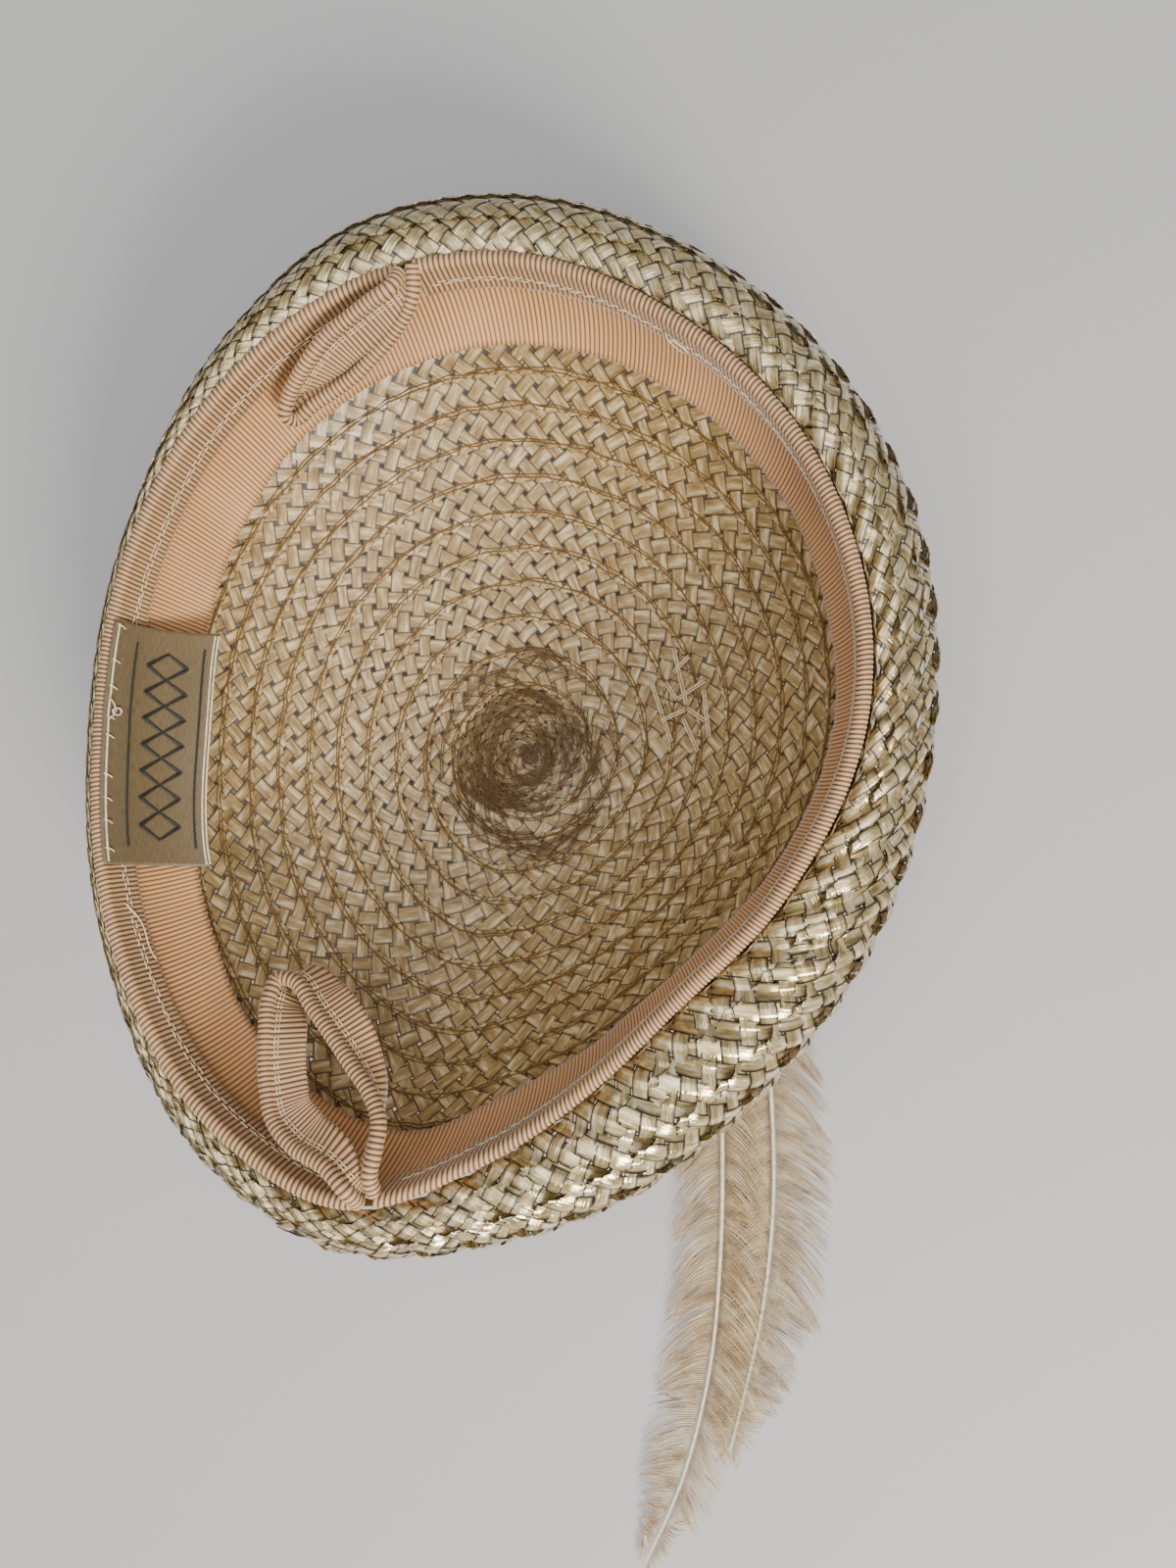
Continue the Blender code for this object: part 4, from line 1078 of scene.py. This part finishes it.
def feather_finish(name, shade, middle, light):
    """Goose barbs: grown hair-fine and hooked together in locks, so their cream varies from lock to lock."""
    mat, shader = finish_of(name, {"Roughness": 0.5, "Sheen Weight": 0.2})
    coords = add_node(mat, "ShaderNodeTexCoord")
    lock_map = add_node(mat, "ShaderNodeMapping", inputs={"Scale": (1.2, 0.16, 1.0)},
                        links=[("Vector", coords, "UV")])
    lock = add_node(mat, "ShaderNodeTexNoise", inputs={"Scale": 1.0, "Detail": 5.0, "Roughness": 0.7},
                    links=[("Vector", lock_map, "Vector")])
    add_node(mat, "ShaderNodeValToRGB", links=[("Fac", lock, "Fac")],
             feeds=[("Color", shader, "Base Color")], stops=[(0.38, shade), (0.50, middle), (0.62, light)])
    return mat


def plain_finish(name, code, roughness):
    """Spun thread, quill horn or a strand of straw: one colour, broken a little by the fibres in it."""
    mat, shader = finish_of(name, {"Roughness": roughness})
    coords = add_node(mat, "ShaderNodeTexCoord")
    cloud = add_node(mat, "ShaderNodeTexNoise", inputs={"Scale": 0.9 / MM, "Detail": 2.0},
                     links=[("Vector", coords, "Object")])
    base = np.array([int(code[i:i + 2], 16) for i in (1, 3, 5)])
    low, high = ("#%02x%02x%02x" % tuple(np.clip(base * k, 0, 255).astype(int)) for k in (0.88, 1.08))
    add_node(mat, "ShaderNodeValToRGB", links=[("Fac", cloud, "Fac")],
             feeds=[("Color", shader, "Base Color")], stops=[(0.3, low), (0.7, high)])
    return mat


# The hat

# One cellophane straw in three copies: the brim's colours are lighter as painted light, the crown inside's
# are darker as painted shade, and the button's are darker again as painted shade at the bottom of the hollow
crown_straw = straw_finish("cellophane_straw_shaded_inside", "#4c3615", "#806435", "#a98d59", "#ddcb9f", 0.05)
brim_straw = straw_finish("cellophane_straw_lit_brim", "#34250d", "#857046", "#c6b079", "#f6ebcb", 0.60)
coil_straw = straw_finish("frayed_straw", "#3c2911", "#6b5029", "#967a48", "#cbb684", 0.05)
ribbon = grosgrain_finish("peach_rayon_grosgrain", "#7a4e26", "#bb8654", "#e3b37e")
# Painted shade: the piping and its loops are the sweatband's peach grosgrain, with darker colours standing
# for the shade they lie in
piping_ribbon = grosgrain_finish("shaded_rayon_grosgrain", "#4b321d", "#906843", "#d0aa78")
satin = satin_finish()
feather = feather_finish("goose_barbs", "#94703c", "#cfae72", "#f2dfb2")
horn = plain_finish("quill_horn", "#f0e2b8", 0.35)
tan_thread = plain_finish("tan_cotton", "#76551f", 0.7)
star_thread = plain_finish("beige_cotton", "#dcc79c", 0.7)
fray_thread = plain_finish("frayed_straw_strand", "#735730", 0.45)
cream_thread = plain_finish("cream_cotton", "#e6d6b4", 0.6)
dark_thread = plain_finish("ink_rayon_thread", "#262522", 0.5)

plait("crown_braid", crown_straw, crown_place, CROWN_ROWS, 11, close=0.17, node="crown", slot="straw")
plait("crown_coil", coil_straw, coil_place, COIL_ROWS, 12, spacing=COIL_SPACING, strip=COIL_STRIP,
      slot="straw")
plait("brim_braid", brim_straw, brim_place, BRIM_ROWS, 13, spacing=BRIM_SPACING, strip=BRIM_STRIP,
      flute=brim_flute, node="rolled_brim", slot="straw")
seam_threads("crown_seam_threads", tan_thread, crown_place, CROWN_ROWS, 0.0, 14, slot="straw")
sweatband(ribbon)
# The piping runs 3 mm further under each loop's feet than the solid does
spread = math.degrees((LOOP_SPREAD - 3 * MM) / RIM_REACH)
far, near = LOOPS["pin_loop_far"]["place"], LOOPS["pin_loop_near"]["place"]
rim_piping("piping_back", far + spread, near - spread, piping_ribbon)
rim_piping("piping_front", near + spread - 360.0, far - spread, piping_ribbon)
for loop_name in LOOPS:
    pin_loop(loop_name, piping_ribbon, cream_thread)
bare = spread + STITCH_CLEAR
rim_stitches("rim_stitches_back", far + bare, near - bare, cream_thread)
rim_stitches("rim_stitches_front", near + bare - 360.0, far - bare, cream_thread)
label(satin, cream_thread, dark_thread)
star_stitches(star_thread)
frayed_threads(fray_thread, 15)
loose_threads(cream_thread)
plume("plume_long", feather, horn, 21)
plume("plume_short", feather, horn, 22)


# Table, light and camera

def table_top():
    """A pale board under a rolled coat of paint, which is matt and even."""
    mat, _ = finish_of("painted_table", {"Base Color": linear("#bfbebc"), "Roughness": 0.6})
    mesh = bpy.data.meshes.new("table_top")
    s = 1.5
    mesh.from_pydata([(-s, -s, 0), (s, -s, 0), (s, s, 0), (-s, s, 0)], [], [(0, 1, 2, 3)])
    mesh.materials.append(mat)
    obj = bpy.data.objects.new("table_top", mesh)
    bpy.context.scene.collection.objects.link(obj)


def placed(right, up, back, place):
    """The matrix of a light or camera with these axes at a place; it looks away from back."""
    return Matrix([[right[k], up[k], back[k], place[k]] for k in range(3)] + [[0, 0, 0, 1]])


def soft_light(name, place, size, energy, colour=(1.0, 1.0, 1.0), aim=(0.0, 0.0, 0.03)):
    """A square area light aimed at the hat."""
    data = bpy.data.lights.new(name, "AREA")
    data.energy = energy
    data.size = size
    data.color = colour
    obj = bpy.data.objects.new(name, data)
    back = unit(np.array(place, float) - np.array(aim))
    side = unit(np.cross([0.0, 1.0, 0.001], back))
    obj.matrix_world = placed(side, np.cross(back, side), back, place)
    bpy.context.scene.collection.objects.link(obj)


def camera():
    """The photo's camera: above the table, leaning to the front and near side."""
    front, near_side = (math.tan(math.radians(angle)) for angle in CAMERA_LEAN)
    back = unit(np.array([front, -near_side, 1.0]))
    up = unit(np.array([0.0, 1.0, 0.0]) - back * back[1])
    right = np.cross(up, back)
    aside = (MIDDLE_PIXEL[0] - PHOTO_SIZE[0] / 2) * CAMERA_DISTANCE / FOCAL
    above = (PHOTO_SIZE[1] / 2 - MIDDLE_PIXEL[1]) * CAMERA_DISTANCE / FOCAL
    place = back * CAMERA_DISTANCE - right * aside - up * above
    data = bpy.data.cameras.new("photo_camera")
    data.sensor_width = 36.0
    data.lens = FOCAL / PHOTO_SIZE[1] * data.sensor_width
    data.clip_start = 0.01
    obj = bpy.data.objects.new("photo_camera", data)
    obj.matrix_world = placed(right, up, back, place)
    bpy.context.scene.collection.objects.link(obj)
    bpy.context.scene.camera = obj


table_top()
soft_light("key", (0.50, -0.80, 0.62), 0.34, 15.5, (1.0, 0.97, 0.92))
soft_light("fill", (0.1, -0.2, 1.3), 1.3, 13.0, (0.99, 0.99, 1.0))
world = bpy.data.worlds.new("studio")
world.use_nodes = True
world.node_tree.nodes["Background"].inputs["Color"].default_value = (0.92, 0.94, 1.0, 1.0)
world.node_tree.nodes["Background"].inputs["Strength"].default_value = 0.42
bpy.context.scene.world = world
camera()
